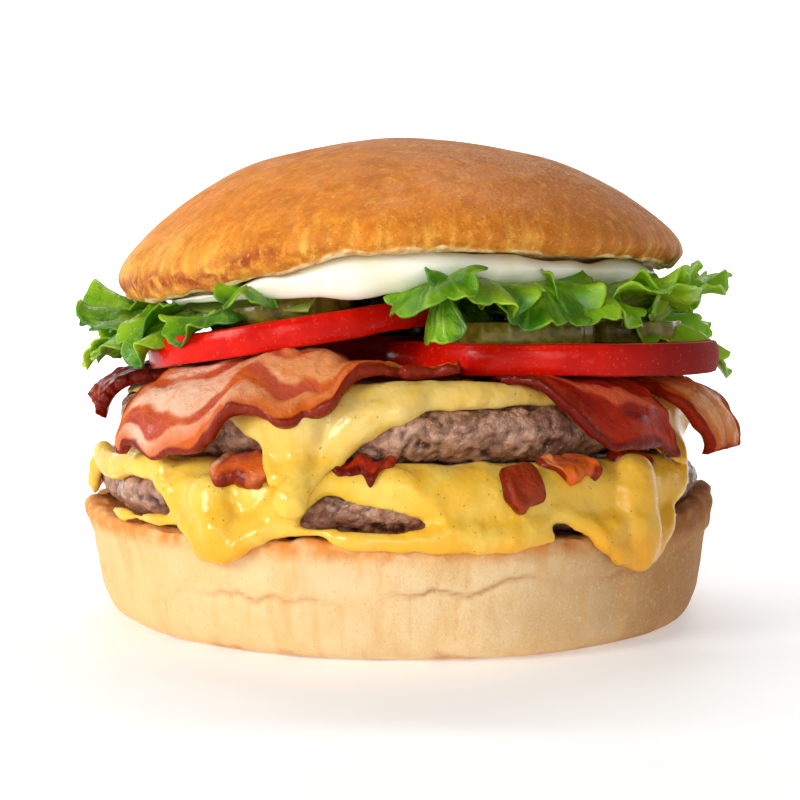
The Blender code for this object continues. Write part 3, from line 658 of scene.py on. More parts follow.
def make_melt(name, node, support, runs, sheet_facts, finish):
    """Melted cheese: a sheet with its runs under one smooth skin."""
    points = sheet_part(support, **sheet_facts)
    skin = bmesh.new()
    spots = [skin.verts.new(p) for p in points.reshape(-1, 3) * MM]
    for corners in grid_faces(*points.shape[:2], around=True, closed=True):
        skin.faces.new([spots[k] for k in corners])
    add_runs(skin, support, runs)
    mesh = bpy.data.meshes.new(name)
    skin.to_mesh(mesh)
    skin.free()
    rough = bpy.data.objects.new(name + "_rough", mesh)
    bpy.context.scene.collection.objects.link(rough)
    merge = rough.modifiers.new("merge", "REMESH")
    merge.mode = "VOXEL"
    merge.voxel_size = CHEESE_VOXEL * MM
    rough.modifiers.new("soften", "SMOOTH").iterations = 8
    merged = bpy.data.meshes.new_from_object(rough.evaluated_get(bpy.context.evaluated_depsgraph_get()))
    bpy.data.objects.remove(rough)
    place, facing = np.empty((2, len(merged.vertices) * 3))
    merged.vertices.foreach_get("co", place)
    merged.vertices.foreach_get("normal", facing)
    place, facing = place.reshape(-1, 3) / MM, facing.reshape(-1, 3)
    seed = sheet_facts["seed"]
    lumps = bumps(place, (0.3, 6, seed + 5), (0.2, 2.6, seed + 6), (0.06, 1.3, seed + 7))
    merged.vertices.foreach_set("co", ((place + facing * lumps[:, None]) * MM).ravel())
    merged.update()
    merged.name = name
    return placed(name, merged, finish, node)


# Bacon


def bent(plan, lift):
    """Plan points on the surface that bends down past the cheese's edge, lifted off it."""
    length = np.linalg.norm(plan, axis=-1)
    past = np.maximum(0.0, length - BEND_START)
    turn = np.minimum(past / BEND_RADIUS, math.pi / 2)
    below = np.maximum(0.0, past - BEND_RADIUS * math.pi / 2)
    radius = np.minimum(length, BEND_START) + (BEND_RADIUS + lift) * np.sin(turn)
    height = BACON_BASE - BEND_RADIUS + (BEND_RADIUS + lift) * np.cos(turn) - below
    return polar(radius, np.degrees(np.arctan2(plan[..., 1], plan[..., 0])), height)


def folds(plan, length, across, along):
    """Folds that rise to the leaning slice of tomato."""
    room = np.clip(math.tan(math.radians(LEFT_TILT)) * (plan[..., 0] + 18.5) + 4.6, 0.6, 6.0)
    room = room * (1 - 0.85 * smooth((plan[..., 0] + 15) / 11))
    fold = 0.5 - 0.5 * np.cos(math.tau * 5.2 * across + 2.0 * along + 0.8)
    return room * (0.88 + 0.12 * fold) * (1 - smooth((length - 46.0) / 8))


def make_strip(node, seed, finish, inner, outer, waves, flare, crests, girth, bands, folded=False):
    """A strip of bacon, whose fat and lean run along it in bands that wander."""
    inner, outer = np.array(inner, float), np.array(outer, float)
    long = max(np.linalg.norm(np.diff(edge, axis=0), axis=-1).sum() for edge in (inner, outer))
    columns, rows = fine(int(long / STRIP_STEP)), fine(STRIP_ROWS)
    across = np.linspace(0, 1, columns)[:, None]
    even = np.linspace(0, 1, rows)[None, :]
    along = (1 - np.cos(math.pi * even)) / 2 * 0.5 + even * 0.5
    a, b = (curve_at(edge, across[:, 0])[:, None] for edge in (inner, outer))
    run = stacked(across * long, along * 26, float(seed * 9))
    lengthwise = run * [1, 0.01, 1]
    width = np.linalg.norm(b - a, axis=-1, keepdims=True)
    nibble = bumps(lengthwise, (1.0, 4.5, seed), (0.5, 1.6, seed + 1)) * smooth((along - 0.35) / 0.65)
    plan = a + (b - a) * along[..., None] + (b - a) / width * nibble[..., None]

    length = np.linalg.norm(plan, axis=-1)
    free = smooth((length - 45.5) / 8)
    number, swing = waves
    ripple = 0.5 - 0.5 * np.cos(math.tau * (number * across + 0.12 * along))
    ruffle = 0.5 + 0.5 * fuzz(run * [1, 0.35, 1], 5.2, seed + 2)
    lift = swing * ripple * free * (0.35 + 0.65 * along) + min(1.0, swing) * ruffle * free * along
    lift = lift + flare * smooth((length - 51) / 12)
    lift = lift + curve_at(crests, across[:, 0])[:, None] * smooth((along - 0.35) / 0.55)
    if folded:
        lift = lift + folds(plan, length, across, along)

    wander = along + 0.15 * fuzz(lengthwise, 11, seed + 3) + 0.07 * fuzz(run, 5, seed + 4)
    streak = fuzz(run * [0.5, 1.1, 1], 2.2, seed + 5)
    fat = sum(bell(wander, middle, breadth) for middle, breadth in bands)
    fat = smooth(0.45 + (fat - 0.45) * 1.5 + 0.3 * streak + 0.35 * fuzz(run, 6.5, seed + 13))
    shore = np.minimum(np.minimum(along, 1 - along) * width[..., 0], np.minimum(across, 1 - across) * long)
    bead = 0.5 + 0.5 * fuzz(run, 1.6, seed + 11)
    char = smooth(1.2 - shore / (1.0 + 0.6 * fuzz(run, 3.0, seed + 6) + 0.5 * bead))
    scorch = smooth(fuzz(run * [0.5, 1, 1], 3.4, seed + 8) * 2.4 - 0.7) * (1 - fat)
    char = np.maximum(char, 0.5 * scorch)
    warm = smooth(1.25 - shore / (3.6 + 2.2 * fuzz(run, 6.0, seed + 12)))

    body = girth * BACON_THICKNESS * (0.8 + 0.15 * fat) + 0.3 * fuzz(run, 2.4, seed + 9) + 0.08 * streak
    body = body * (0.3 + 0.7 * rounded(shore, 1.3)) + (0.1 + 0.9 * bead) * char
    over = raised(bent(plan, lift + body), 0.1 * fractal(run, 1.1, seed + 10), False)
    facts = {"fat": fat, "char": char, "streak": 0.5 + 0.5 * streak, "warm": warm}
    part = sheet(over, bent(plan, lift), facts)
    if np.cross(b[0, 0] - a[0, 0], a[-1, 0] - a[0, 0]) < 0:
        part = flipped(*part)
    return joined(node.replace("bacon_strip", "rasher"), [part], finish, node)


def make_bit(number, angle, start, end, width, seed, finish):
    """A short thick end of bacon on the lower cheese."""
    columns, rows = BIT_GRID
    across, along = np.linspace(0, 1, columns)[:, None], np.linspace(0, 1, rows)[None, :]
    side, end_on = 2 * across - 1, 2 * along - 1
    long = end - start
    run = stacked(across * width, along * long, float(seed * 5))
    shore = np.minimum(np.minimum(across, 1 - across) * width, np.minimum(along, 1 - along) * long)
    distance = (start + end) / 2 + long / 2 * end_on * (1 - 0.3 * np.abs(side) ** 3)
    distance = distance + 0.9 * fuzz(run * [1, 0.01, 1], 2.4, seed)
    body = (1.4 + 0.8 * fuzz(run, 2.4, seed + 1)) * rounded(shore, 1.4) + 0.3 * fuzz(run, 1.1, seed + 2)
    half_turn = math.degrees(width / 2 / LOWER_PATTY_RADIUS)
    way = lower_support(angle + half_turn * side[:, 0])
    low = np.full_like(body, CHEESE_GAP + 0.2)
    skew = angle + half_turn * side * (1 - 0.28 * np.abs(end_on) ** 3)
    skew = skew + math.degrees(1 / LOWER_PATTY_RADIUS) * 0.7 * fuzz(run * [0.01, 1, 1], 2.4, seed + 3)
    over, below = (polar(face[..., 0], skew, face[..., 1])
                   for face in (draped(way, distance, low + 1.5 + body), draped(way, distance, low)))
    facts = {"fat": smooth(0.5 + 2.2 * fuzz(run * [0.6, 1.2, 1], 3.2, seed + 4)),
             "char": smooth(1.2 - shore / 1.1) * smooth(0.75 + fuzz(run, 2.4, seed + 5)),
             "streak": 0.5 + 0.5 * fuzz(run, 1.3, seed + 6), "warm": smooth(1.2 - shore / 2)}
    part = flipped(*sheet(over, below, facts))
    return joined(f"bacon_bit_{number}", [part], finish, f"bacon_end_{number}")


# Slices, leaves and sauce


def make_slice(node, middle, radius, thickness, tilt, ribs, seed, finish, slot):
    """A round slice with a soft rim, the ribs of its skin and a slightly sunken cut face."""
    columns, rows = SLICE_GRID
    angle = crowded(columns)
    share = stepped((0, 0.2, 3), (0.2, 0.8, fine(rows)), (0.8, 1, fine(9)))
    across, up = curve_at(SLICE_PROFILE, share).T[:, None, :]
    uneven = 1 + 0.02 * fuzz(polar(radius, angle, 0.0), radius, seed)
    if ribs:
        uneven = uneven + 0.014 * np.cos(np.radians(angle) * ribs)
    points = polar(across * radius * uneven[:, None], angle[:, None], up * thickness)
    points[..., 2] += 0.2 * fuzz(points, 9, seed + 1) * smooth((across - 0.1) / 0.4)
    points = raised(points, 0.05 * fractal(points, 3, seed + 2))
    lean = math.radians(tilt)
    x, y, z = np.moveaxis(points, -1, 0)
    points = stacked(x * math.cos(lean) - z * math.sin(lean), y, x * math.sin(lean) + z * math.cos(lean))
    facts = {"face": 1 - smooth((across - 0.93) / 0.05), "out": across, "turn": np.radians(angle)[:, None]}
    return joined(node + "_cut", [(points + middle, facts)], finish, node, True)


def fan(seed, angle, radius, height, length, spread, pitch, droop, yaw, roll, frill):
    """A lobe of a leaf: it fans out from its root, and its rim is frilled and lobed."""
    columns, rows = (fine(count) for count in FAN_GRID)
    turn = np.radians(spread) * np.linspace(-1, 1, columns)[:, None]
    out = np.linspace(0.04, 1, rows)[None, :] ** 0.8
    rim = stacked(turn * length, seed * 3.7, 0.0)
    scallop = np.abs(np.sin(turn * length / 2.3 + 2.2 * fuzz(rim, 6.0, seed + 10)))
    lobe = 0.9 + bumps(rim, (0.1, 7.0, seed), (0.03, 1.3, seed + 2)) + 0.15 * np.sqrt(scallop)
    reach = length * (1 - 0.22 * (turn / np.radians(spread)) ** 2) * lobe * out
    flat = stacked(reach * np.sin(turn), reach * np.cos(turn), seed * 5.1)

    wave = math.tau * turn * length / FRILL_LENGTH + 2.2 * fuzz(rim, 8.0, seed + 3) + seed
    lift = frill * out**2.3 * np.sin(wave) * (0.85 + 0.6 * fuzz(rim, 6.0, seed + 4))
    lift = lift + 0.3 * frill * out**5 * np.sin(2.1 * wave + 3.0 * fuzz(flat, 5.0, seed + 5))
    lift = lift + 1.2 * fuzz(flat, 8.0, seed + 11) * out
    lift = lift + bumps(flat, (0.8, 5.5, seed + 6), (0.25, 2.0, seed + 7))

    along = flat[..., 1]
    bend = np.radians(pitch) - np.radians(droop) * np.clip(along, 0, None) / length
    middle = (np.radians(pitch) + bend) / 2
    tip = math.radians(roll)
    side = flat[..., 0] * math.cos(tip) - lift * math.sin(tip)
    up = lift * math.cos(tip) + flat[..., 0] * math.sin(tip)
    forth = along * np.cos(middle) - up * np.sin(bend)
    rise = along * np.sin(middle) + up * np.cos(bend)
    heading = math.radians(angle + yaw)
    points = polar(radius, angle, height) + stacked(
        forth * math.cos(heading) - side * math.sin(heading),
        forth * math.sin(heading) + side * math.cos(heading), rise)

    branch = np.mod(turn * 3.2 + 0.2 * fuzz(flat, 4, seed + 8), 1)
    vein = np.maximum(bell(branch, 0.5, 0.05), bell(turn, 0, 0.05))
    crinkle = fractal(flat, 2.6, seed + 9)
    points = raised(points, 0.22 * crinkle - 0.3 * vein * (1 - 0.6 * out), False)
    half = normals(points) * (0.16 + 0.16 * (1 - out))[..., None]
    facts = {"out": out, "vein": vein * (1 - 0.7 * out), "crinkle": 0.5 + 0.5 * crinkle,
             "rise": 0.5 + 0.5 * lift / (1.5 * frill)}
    return sheet(points + half, points - half, facts)


def heart(start, end, edge_height, seed):
    """The middle of a leaf, which runs through under the sauce."""
    columns, rows = HEART_GRID
    turn = np.linspace(start, end, columns)[:, None]
    share = np.linspace(0, 1, rows)[None, :]
    radius = HEART_RADIUS + (HEART_REACH - HEART_RADIUS) * share
    height = HEART_HEIGHT - 0.2 + (edge_height - HEART_HEIGHT) * smooth((radius - HEART_FLAT) / 8)
    points = polar(radius, turn, height)
    points[..., 2] += 0.3 * fuzz(points, 6, seed) * share
    half = np.array([0, 0, 0.25])
    return sheet(points + half, points - half, {"out": 0.2 * share, "vein": 0.0, "crinkle": 0.5, "rise": 0.5})


def make_leaf(node, span, fans, seed, finish):
    parts = [heart(*span, seed)]
    parts += [fan(seed + 13 * k, *shape) for k, shape in enumerate(fans)]
    parts += [fan(seed + 200 + 13 * k, *fold, *INNER_FOLD_SHAPE) for k, fold in enumerate(INNER_FOLDS[node])]
    return joined(node + "_leaf", parts, finish, node)


def make_mayo(finish):
    columns, rows = MAYO_GRID
    angle = crowded(columns)
    reach = ring(angle, MAYO_REACH)
    ceiling = CROWN_UNDERSIDE - MAYO_GAP
    top = np.minimum(crown_underside(angle, 0.8 * reach), crown_underside(angle, 0.88 * reach)) - MAYO_GAP
    edge_top = crown_underside(angle, 0.965 * reach) - MAYO_GAP - 0.3
    low = np.minimum(ring(angle, MAYO_UNDERSIDE), edge_top - 1.2)
    profile = [(0, MAYO_BASE), (0.45, MAYO_BASE), (0.84, MAYO_BASE), (0.95, low),
               (1.0, 0.45 * low + 0.55 * edge_top), (0.965, edge_top), (0.86, top), (0.45, ceiling),
               (0, ceiling)]
    spots = np.array([stacked(across * reach, height) for across, height in profile])
    share = stepped((0, 0.25, 3), (0.25, 0.75, fine(rows)), (0.75, 1, 3))
    radius, height = np.moveaxis(curve_at(spots, share), -1, 0)
    points = polar(radius.T, angle[:, None], height.T)
    side = smooth((radius.T / reach[:, None] - 0.8) / 0.12)
    points = raised(points, side * bumps(points, (0.75, 8, 91), (0.35, 3.6, 92)))
    return joined("mayonnaise_sauce", [(points, {})], finish, "mayonnaise", True)


# Materials


def light(value):
    """Light from a screen value of 0 to 255."""
    value = value / 255
    return value / 12.92 if value <= 0.04045 else ((value + 0.055) / 1.055) ** 2.4


class Finish:
    """A material under construction, with short names for the nodes it uses. Colours are screen colours."""

    def __init__(self, name, roughness=0.5, specular=0.3):
        self.material = bpy.data.materials.new(name)
        self.material.use_nodes = True
        self.tree = self.material.node_tree
        self.shader = self.tree.nodes["Principled BSDF"]
        self.shader.inputs["Roughness"].default_value = roughness
        self.shader.inputs["Specular IOR Level"].default_value = specular
        scale = self.node("VectorMath", operation="SCALE")
        scale.inputs["Scale"].default_value = 1 / MM
        self.tree.links.new(self.node("TexCoord").outputs["Object"], scale.inputs[0])
        self.place = scale.outputs[0]

    def node(self, kind, **settings):
        made = self.tree.nodes.new("ShaderNode" + kind)
        for name, value in settings.items():
            setattr(made, name, value)
        return made

    def put(self, socket, value):
        if isinstance(value, bpy.types.NodeSocket):
            self.tree.links.new(value, socket)
        elif isinstance(value, tuple) and len(value) == 3:
            socket.default_value = (*map(light, value), 1.0)
        else:
            socket.default_value = value

    def fact(self, name):
        return self.node("Attribute", attribute_name=name).outputs["Fac"]

    def stretched(self, x, y, z):
        node = self.node("VectorMath", operation="MULTIPLY")
        node.inputs[1].default_value = (x, y, z)
        self.tree.links.new(self.place, node.inputs[0])
        return node.outputs[0]

    def noise(self, size, detail=3.0, distortion=0.0, place=None):
        node = self.node("TexNoise")
        node.inputs["Scale"].default_value = 1 / size
        node.inputs["Detail"].default_value = detail
        node.inputs["Distortion"].default_value = distortion
        self.tree.links.new(place or self.place, node.inputs["Vector"])
        return node.outputs["Fac"]

    def step(self, value, low, high, to_low=0.0, to_high=1.0):
        node = self.node("MapRange", interpolation_type="SMOOTHSTEP")
        for socket, number in zip(("From Min", "From Max", "To Min", "To Max"), (low, high, to_low, to_high)):
            node.inputs[socket].default_value = number
        self.put(node.inputs["Value"], value)
        return node.outputs["Result"]

    def patches(self, size, low, high, most=1.0, detail=3.0, distortion=0.0):
        """Cloudy patches, from nothing where the noise is low to the most where it is high."""
        return self.step(self.noise(size, detail, distortion), low, high, 0.0, most)

    def dots(self, size, inner, outer, most):
        """Scattered dots, of the most at their middles and nothing past outer."""
        node = self.node("TexVoronoi", feature="F1")
        node.inputs["Scale"].default_value = 1 / size
        self.tree.links.new(self.place, node.inputs["Vector"])
        return self.step(node.outputs["Distance"], inner, outer, most, 0.0)

    def maths(self, operation, a, b=0.0):
        node = self.node("Math", operation=operation)
        self.put(node.inputs[0], a)
        self.put(node.inputs[1], b)
        return node.outputs[0]

    def times(self, a, b):
        return self.maths("MULTIPLY", a, b)

    def plus(self, a, b):
        return self.maths("ADD", a, b)

    def axis(self, name):
        node = self.node("SeparateXYZ")
        self.tree.links.new(self.place, node.inputs[0])
        return node.outputs[name]

    def wavy(self, axis, size, depth, detail=3.0, distortion=0.0):
        """A coordinate that noise of a depth in millimetres makes uneven."""
        return self.plus(self.axis(axis), self.times(self.noise(size, detail, distortion), depth))

    def mix(self, share, a, b):
        node = self.node("Mix", data_type="RGBA")
        sockets = {s.identifier: s for s in node.inputs}
        self.put(sockets["Factor_Float"], share)
        self.put(sockets["A_Color"], a)
        self.put(sockets["B_Color"], b)
        return next(s for s in node.outputs if s.identifier == "Result_Color")

    def paint(self, *layers, start):
        """A colour of layers (share, colour), each laid over those before it. It becomes the base colour."""
        tone = start
        for share, tint in layers:
            tone = self.mix(share, tone, tint)
        self.put(self.shader.inputs["Base Color"], tone)
        return tone

    def rough(self, value):
        self.put(self.shader.inputs["Roughness"], value)

    def bump(self, *layers):
        """Bumps as (height, depth in millimetres), one after the other."""
        last = None
        for height, depth in layers:
            node = self.node("Bump")
            node.inputs["Distance"].default_value = depth * MM
            node.inputs["Strength"].default_value = 1.0
            self.tree.links.new(height, node.inputs["Height"])
            if last:
                self.tree.links.new(last, node.inputs["Normal"])
            last = node.outputs["Normal"]
        self.tree.links.new(last, self.shader.inputs["Normal"])

    def waxy(self, weight, red, green, blue):
        """Light that spreads under the surface, by distances in millimetres."""
        self.shader.inputs["Subsurface Weight"].default_value = weight
        self.shader.inputs["Subsurface Radius"].default_value = (red, green, blue)
        self.shader.inputs["Subsurface Scale"].default_value = MM

    def wet(self, weight, roughness):
        self.shader.inputs["Coat Weight"].default_value = weight
        self.shader.inputs["Coat Roughness"].default_value = roughness


def crust_finish():
    f = Finish("baked_crust", specular=0.18)
    high = f.wavy("Z", 9, 11.0, 4, 0.4)
    # Painted shade: a share that darkens the crust towards the right side, away from the key light
    right = f.step(f.wavy("X", 12, 34.0, 4), 4, 66)
    streaks = f.times(f.step(f.fact("streak"), 0.35, 0.75, 0.0, 0.5), f.fact("low"))
    left = f.step(f.axis("X"), -4, -26, 0.2, 1.0)
    toast = f.times(f.fact("rim"), f.times(left, f.patches(2.4, 0.3, 0.6, detail=5, distortion=0.6)))
    fibre = f.noise(1.1, 4, 0.3, f.stretched(1.0, 1.0, 0.2))
    veil = f.step(f.plus(f.axis("Z"), f.times(f.axis("X"), 0.26)), 75, 96, 0.0, 0.9)
    flour = f.times(f.times(f.patches(0.55, 0.44, 0.62), veil), f.patches(8, 0.32, 0.56, detail=4))
    crust = f.paint(
        (f.step(high, 63, 76), (234, 138, 26)),
        (f.step(high, 78, 93), (188, 110, 30)),
        # Painted shade on the right side
        (f.times(right, 0.85), (152, 84, 24)),
        (f.patches(5, 0.42, 0.7, 0.6, 6, 0.8), (180, 96, 28)),
        (f.patches(2.2, 0.5, 0.72, 0.4, 5, 0.5), (250, 180, 66)),
        (streaks, (252, 196, 92)),
        (toast, (150, 62, 20)),
        (f.dots(0.75, 0.05, 0.26, 0.6), (120, 62, 20)),
        (f.patches(0.5, 0.56, 0.74, 0.4, 2), (252, 196, 96)),
        (f.step(fibre, 0.42, 0.62, 0.0, 0.45), (204, 112, 28)),
        (flour, (222, 186, 152)), start=(246, 172, 62))
    torn = f.mix(f.patches(1.6, 0.35, 0.65, detail=4, distortion=0.4), (240, 214, 160), (214, 158, 92))
    f.paint((f.step(f.fact("dome"), 0.25, 0.75), crust), start=torn)
    f.rough(f.step(f.noise(5, 3), 0.3, 0.7, 0.45, 0.68))
    f.bump((f.noise(2.6, 5), 0.45), (f.noise(0.6, 4), 0.2))
    f.waxy(0.1, 2.5, 1.2, 0.5)
    return f.material


def crumb_finish():
    f = Finish("pale_bread", 0.75)
    # Painted shade: a share that darkens the heel towards the right side, also on its toasted rim
    right = f.step(f.wavy("X", 10, 20.0), 22, 62, 0.0, 0.95)
    toast = f.times(f.fact("rim"), f.step(f.noise(3.2, 4, 0.5), 0.25, 0.6, 0.3, 1.0))
    f.paint(
        (f.patches(8, 0.35, 0.7, detail=4, distortion=0.5), (231, 194, 138)),
        (f.step(f.wavy("X", 10, 30.0), 10, -34, 0.0, 0.7), (238, 190, 124)),
        # Painted shade towards the right
        (right, (164, 112, 58)),
        # Painted shade: darker in the grooves of the wrinkles and along the crease
        (f.step(f.fact("wrinkle"), 0.1, 0.5, 0.48, 0.0), (222, 168, 100)),
        (f.times(f.fact("crease"), 0.6), (190, 126, 66)),
        (f.dots(1.0, 0.06, 0.24, 0.36), (196, 138, 78)),
        (f.patches(0.6, 0.54, 0.76, 0.3), (250, 226, 182)),
        (f.step(f.wavy("Z", 7, -8.0, 4), -2.5, -6.0, 0.0, 0.85), (196, 118, 50)),
        # The rim's toast, darker towards the right as painted shade
        (toast, f.mix(right, (222, 142, 62), (136, 80, 34))), start=(236, 206, 158))
    f.bump((f.noise(2.0, 4), 0.22), (f.noise(0.45, 3), 0.12))
    f.waxy(0.12, 3.0, 1.6, 0.8)
    return f.material


def beef_finish():
    f = Finish("seared_beef")
    # Painted shade: dark brown in the crevices between the lumps, where the deep fact is high
    sear = f.step(f.plus(f.fact("deep"), f.times(f.noise(2.2, 4), 0.5)), 0.62, 1.05)
    # Painted shade: darker brown towards the right side
    seared_right = f.step(f.plus(f.times(f.axis("X"), 0.012), f.noise(11, 4)), 0.72, 1.05, 0.0, 0.7)
    f.paint(
        (f.step(f.fact("tag"), 0.1, 0.9), (198, 154, 128)),
        (f.patches(3.0, 0.45, 0.7, 0.8, 4, 0.4), (132, 84, 62)),
        (sear, (74, 42, 32)),
        (seared_right, (96, 54, 40)),
        (f.patches(0.7, 0.58, 0.72, 0.6), (214, 176, 152)), start=(166, 118, 92))
    f.rough(f.step(f.noise(1.6, 3), 0.35, 0.65, 0.2, 0.6))
    f.bump((f.noise(1.1, 4, 0.6), 0.5), (f.noise(0.4, 2), 0.16))
    f.waxy(0.08, 1.5, 0.6, 0.4)
    f.wet(0.45, 0.13)
    return f.material


def cheese_finish():
    f = Finish("melted_cheese", specular=0.22)
    pale = f.mix(f.patches(5, 0.35, 0.65, distortion=0.4), (232, 194, 92), (234, 206, 126))
    specks = f.times(f.dots(1.3, 0.04, 0.15, 0.85), f.patches(6, 0.42, 0.56, detail=2))
    f.paint(
        (f.patches(7, 0.35, 0.68, distortion=0.4), (242, 206, 92)),
        (f.step(f.axis("Z"), 29, 37, 0.0, 0.8), pale),
        (f.step(f.wavy("Z", 6, 4.0, 2), 24.5, 18.5, 0.0, 0.8), (244, 168, 22)),
        # Painted shade: darker, deeper yellow towards the right side
        (f.step(f.wavy("X", 9, 12.0), 22, 46, 0.0, 0.5), (208, 148, 14)),
        (f.patches(3.4, 0.6, 0.78, 0.35, 4, 0.6), (198, 150, 84)),
        (specks, (104, 74, 34)), start=(242, 190, 56))
    f.rough(f.step(f.noise(3, 2), 0.35, 0.7, 0.2, 0.36))
    f.bump((f.noise(3.2, 2), 0.5), (f.noise(1.2, 1), 0.06))
    f.waxy(0.3, 2.6, 1.5, 0.4)
    f.wet(0.3, 0.09)
    return f.material


def bacon_finish(name, gloss, fat, lean, char, glaze, browned):
    f = Finish(name, specular=0.04 + 0.8 * gloss)
    fat = f.mix(f.step(f.wavy("X", 5, 14.0), -30, -8, 0.0, browned), fat, (222, 128, 44))
    f.paint(
        (f.step(f.fact("streak"), 0.3, 0.85, 0.0, 0.7), glaze),
        (f.step(f.plus(f.fact("fat"), f.times(f.noise(1.4, 4), 0.6)), 0.45, 1.15), fat),
        (f.patches(3.8, 0.5, 0.74, 0.55, 5, 0.8), glaze),
        (f.times(f.fact("warm"), 0.85), glaze),
        (f.times(f.dots(2.2, 0.05, 0.16, 0.45), f.patches(5, 0.45, 0.6, detail=2)), char),
        (f.step(f.fact("char"), 0.1, 0.7, 0.0, 0.95), char), start=lean)
    f.rough(f.step(f.noise(1.8, 3), 0.35, 0.65, 0.24, 0.5))
    f.bump((f.noise(2.4, 3, 0.6), 0.55), (f.noise(0.9, 2, 0.4), 0.16))
    f.waxy(0.2, 2.0, 0.8, 0.4)
    f.wet(gloss, 0.1)
    return f.material


def tomato_finish():
    f = Finish("tomato_flesh", specular=0.14)
    face = f.fact("face")
    out = f.fact("out")
    # Painted highlight: a pale band where the cut face rounds into the skin
    edge = f.times(f.step(face, 0.02, 0.4), f.step(face, 0.98, 0.6))
    skin = f.paint(
        (f.patches(6, 0.35, 0.7), (200, 14, 5)),
        (f.patches(1.2, 0.6, 0.74, 0.45), (236, 84, 44)),
        # Painted shade: darker red towards the right side
        (f.step(f.axis("X"), 20, 50, 0.0, 0.9), (116, 5, 4)),
        (f.dots(0.9, 0.05, 0.2, 0.3), (244, 140, 80)),
        # Painted highlight along the rim's edges
        (f.times(edge, 0.7), (246, 150, 110)), start=(222, 24, 8))
    chambers = f.step(f.maths("SINE", f.times(f.fact("turn"), 5.0)), 0.1, 0.6)
    pocket = f.times(chambers, f.times(f.step(out, 0.25, 0.4), f.step(out, 0.82, 0.72)))
    flesh = f.paint(
        (f.patches(2.4, 0.4, 0.7, detail=4), (190, 34, 20)),
        (pocket, (214, 110, 44)),
        (f.step(out, 0.8, 0.9), (206, 40, 22)), start=(214, 60, 34))
    f.paint((f.step(face, 0.5, 1.0), flesh), start=skin)
    f.rough(f.plus(f.step(face, 0.0, 1.0, 0.2, 0.6), f.step(f.axis("X"), 22, 50, 0.0, 0.5)))
    f.bump((f.noise(4, 2), 0.16), (f.noise(0.7, 2), 0.04))
    f.waxy(0.1, 3.0, 0.7, 0.4)
    return f.material


def pickle_finish():
    f = Finish("pickle_flesh", 0.25, specular=0.25)
    seeds = f.times(f.dots(2.2, 0.12, 0.3, 1.0), f.step(f.fact("out"), 0.7, 0.5))
    flesh = f.paint(
        (f.patches(2.6, 0.35, 0.7), (134, 120, 30)),
        (f.times(seeds, 0.6), (206, 196, 120)), start=(170, 150, 48))
    skin = f.mix(f.patches(1.6, 0.35, 0.7), (138, 126, 38), (98, 94, 22))
    f.paint((f.fact("face"), flesh), start=skin)
    f.bump((f.noise(1.8, 3), 0.12))
    f.waxy(0.2, 1.6, 1.6, 0.6)
    f.wet(0.2, 0.1)
    return f.material


def lettuce_finish():
    f = Finish("lettuce_leaf", 0.36)
    rise = f.fact("rise")
    low_left = f.times(f.step(f.axis("X"), -52, -57), f.step(f.axis("Z"), 52, 49))
    f.paint(
        (f.patches(8, 0.35, 0.68), (122, 172, 18)),
        # Painted light and shade: lighter on the raised crests of the frills and dark green in the troughs
        (f.step(rise, 0.5, 0.95, 0.0, 0.7), (160, 200, 36)),
        (f.step(rise, 0.42, 0.1, 0.0, 0.75), (30, 82, 6)),
        (f.step(f.fact("crinkle"), 0.6, 0.85, 0.0, 0.4), (170, 206, 60)),
        (f.times(low_left, 0.8), (190, 220, 56)),
        # Painted light: lighter, yellower green towards the right side
        (f.step(f.wavy("X", 9, 24.0, 2), 34, 60, 0.0, 0.6), (150, 196, 22)),
        (f.step(f.fact("out"), 0.45, 0.1), (176, 196, 84)),
        (f.times(f.fact("vein"), 0.6), (176, 206, 84)), start=(62, 126, 8))
    f.bump((f.noise(2.2, 3, 0.5), 0.55), (f.noise(0.7, 2), 0.14))
    f.waxy(0.25, 0.9, 1.3, 0.3)
    f.wet(0.25, 0.2)
    return f.material


def mayo_finish():
    f = Finish("creamy_sauce", 0.28)
    f.paint((f.patches(7, 0.4, 0.7, detail=2), (246, 240, 214)), start=(252, 249, 232))
    f.bump((f.noise(3.0, 2), 0.15))
    f.waxy(0.3, 2.2, 2.0, 1.4)
    f.wet(0.4, 0.12)
    return f.material


def floor_finish():
    f = Finish("pale_floor", 0.6)
    tone = f.mix(f.patches(40, 0.3, 0.7, detail=2), (0.82, 0.82, 0.82, 1), (0.79, 0.79, 0.8, 1))
    f.paint(start=tone)
    f.shader.inputs["Emission Color"].default_value = WHITE
    f.shader.inputs["Emission Strength"].default_value = FLOOR_GLOW
    return f.material


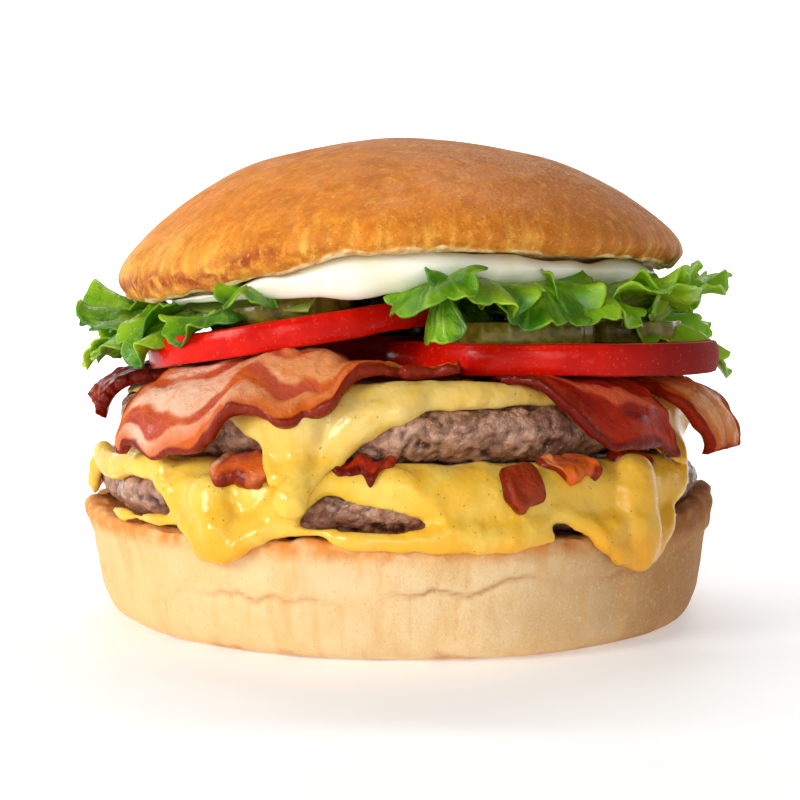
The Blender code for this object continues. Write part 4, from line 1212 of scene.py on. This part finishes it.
def dress():
    beef, cheese = beef_finish(), cheese_finish()
    bacon = {kind: bacon_finish("bacon_" + kind, *tones) for kind, tones in BACON_KINDS.items()}
    make_heel(crumb_finish())
    make_crown(crust_finish())
    make_patty("lower_beef", "patty_lower", LOWER_PATTY_RADIUS, LOWER_PATTY_BASE, LOWER_PATTY_SEED, beef)
    make_patty("upper_beef", "patty_upper", UPPER_PATTY_RADIUS, UPPER_PATTY_BASE, UPPER_PATTY_SEED, beef)
    make_melt("lower_melt", "cheese_lower", lower_support, LOWER_RUNS, LOWER_SHEET, cheese)
    make_melt("upper_melt", "cheese_upper", upper_support, UPPER_RUNS, UPPER_SHEET, cheese)
    for number, (node, strip) in enumerate(BACON_STRIPS.items()):
        shape = {key: value for key, value in strip.items() if key != "kind"}
        make_strip(node, 300 + 20 * number, bacon[strip["kind"]], **shape)
    for number, (*shape, kind) in enumerate(BACON_ENDS, 1):
        make_bit(number, *shape, 400 + 10 * number, bacon[kind])
    red, olive, green = tomato_finish(), pickle_finish(), lettuce_finish()
    for number, (node, shape) in enumerate(TOMATO_SLICES.items()):
        make_slice(node, *shape, 0, 500 + 10 * number, red, "tomato")
    for number, (node, shape) in enumerate(PICKLE_SLICES.items()):
        make_slice(node, *shape, PICKLE_RIBS, 550 + 10 * number, olive, "pickle")
    for number, (node, (span, fans)) in enumerate(LEAVES.items()):
        make_leaf(node, span, fans, 600 + 300 * number, green)
    make_mayo(mayo_finish())


# The studio


def area_light(name, place, target, size, power, tint):
    lamp = bpy.data.lights.new(name, "AREA")
    lamp.shape = "RECTANGLE"
    lamp.size, lamp.size_y = size
    lamp.energy = power
    lamp.color = tint
    made = bpy.data.objects.new(name, lamp)
    made.location = place
    x, y, z = np.array(target) - np.array(place)
    made.rotation_euler = (math.atan2(math.hypot(x, y), -z), 0, math.atan2(x, -y) + math.pi)
    bpy.context.scene.collection.objects.link(made)


def backdrop(finish):
    """A pale floor that curves up far behind the burger."""
    radius, height = np.array(FLOOR_PROFILE).T[:, None, :]
    angle = FULL_TURN * np.arange(FLOOR_COLUMNS)[:, None] / FLOOR_COLUMNS
    faces = grid_faces(FLOOR_COLUMNS, len(FLOOR_PROFILE), around=True)[:, ::-1]
    mesh = bpy.data.meshes.new("floor")
    mesh.from_pydata(polar(radius, angle, height).reshape(-1, 3).tolist(), [], faces.tolist())
    mesh.shade_smooth()
    mesh.materials.append(finish)
    floor = bpy.data.objects.new("floor", mesh)
    bpy.context.scene.collection.objects.link(floor)


def add_camera(scene):
    camera = bpy.data.cameras.new("camera")
    camera.sensor_width = SENSOR_WIDTH
    camera.lens = FOCAL_PIXELS / PICTURE_WIDTH * SENSOR_WIDTH
    camera.clip_start = 0.01
    eye = bpy.data.objects.new("camera", camera)
    eye.location = (0, -CAMERA_DISTANCE, CAMERA_HEIGHT)
    eye.rotation_euler = (math.radians(90 - CAMERA_PITCH), 0, 0)
    scene.collection.objects.link(eye)
    scene.camera = eye


def studio():
    scene = bpy.context.scene
    backdrop(floor_finish())
    world = bpy.data.worlds.new("soft_white")
    world.use_nodes = True
    world.node_tree.nodes["Background"].inputs["Color"].default_value = WHITE
    world.node_tree.nodes["Background"].inputs["Strength"].default_value = WORLD_STRENGTH
    scene.world = world
    area_light("key", **KEY_LIGHT)
    area_light("front", **FRONT_LIGHT)
    area_light("wall", **WALL_LIGHT)
    scene.view_settings.view_transform = "Standard"
    add_camera(scene)


dress()
studio()
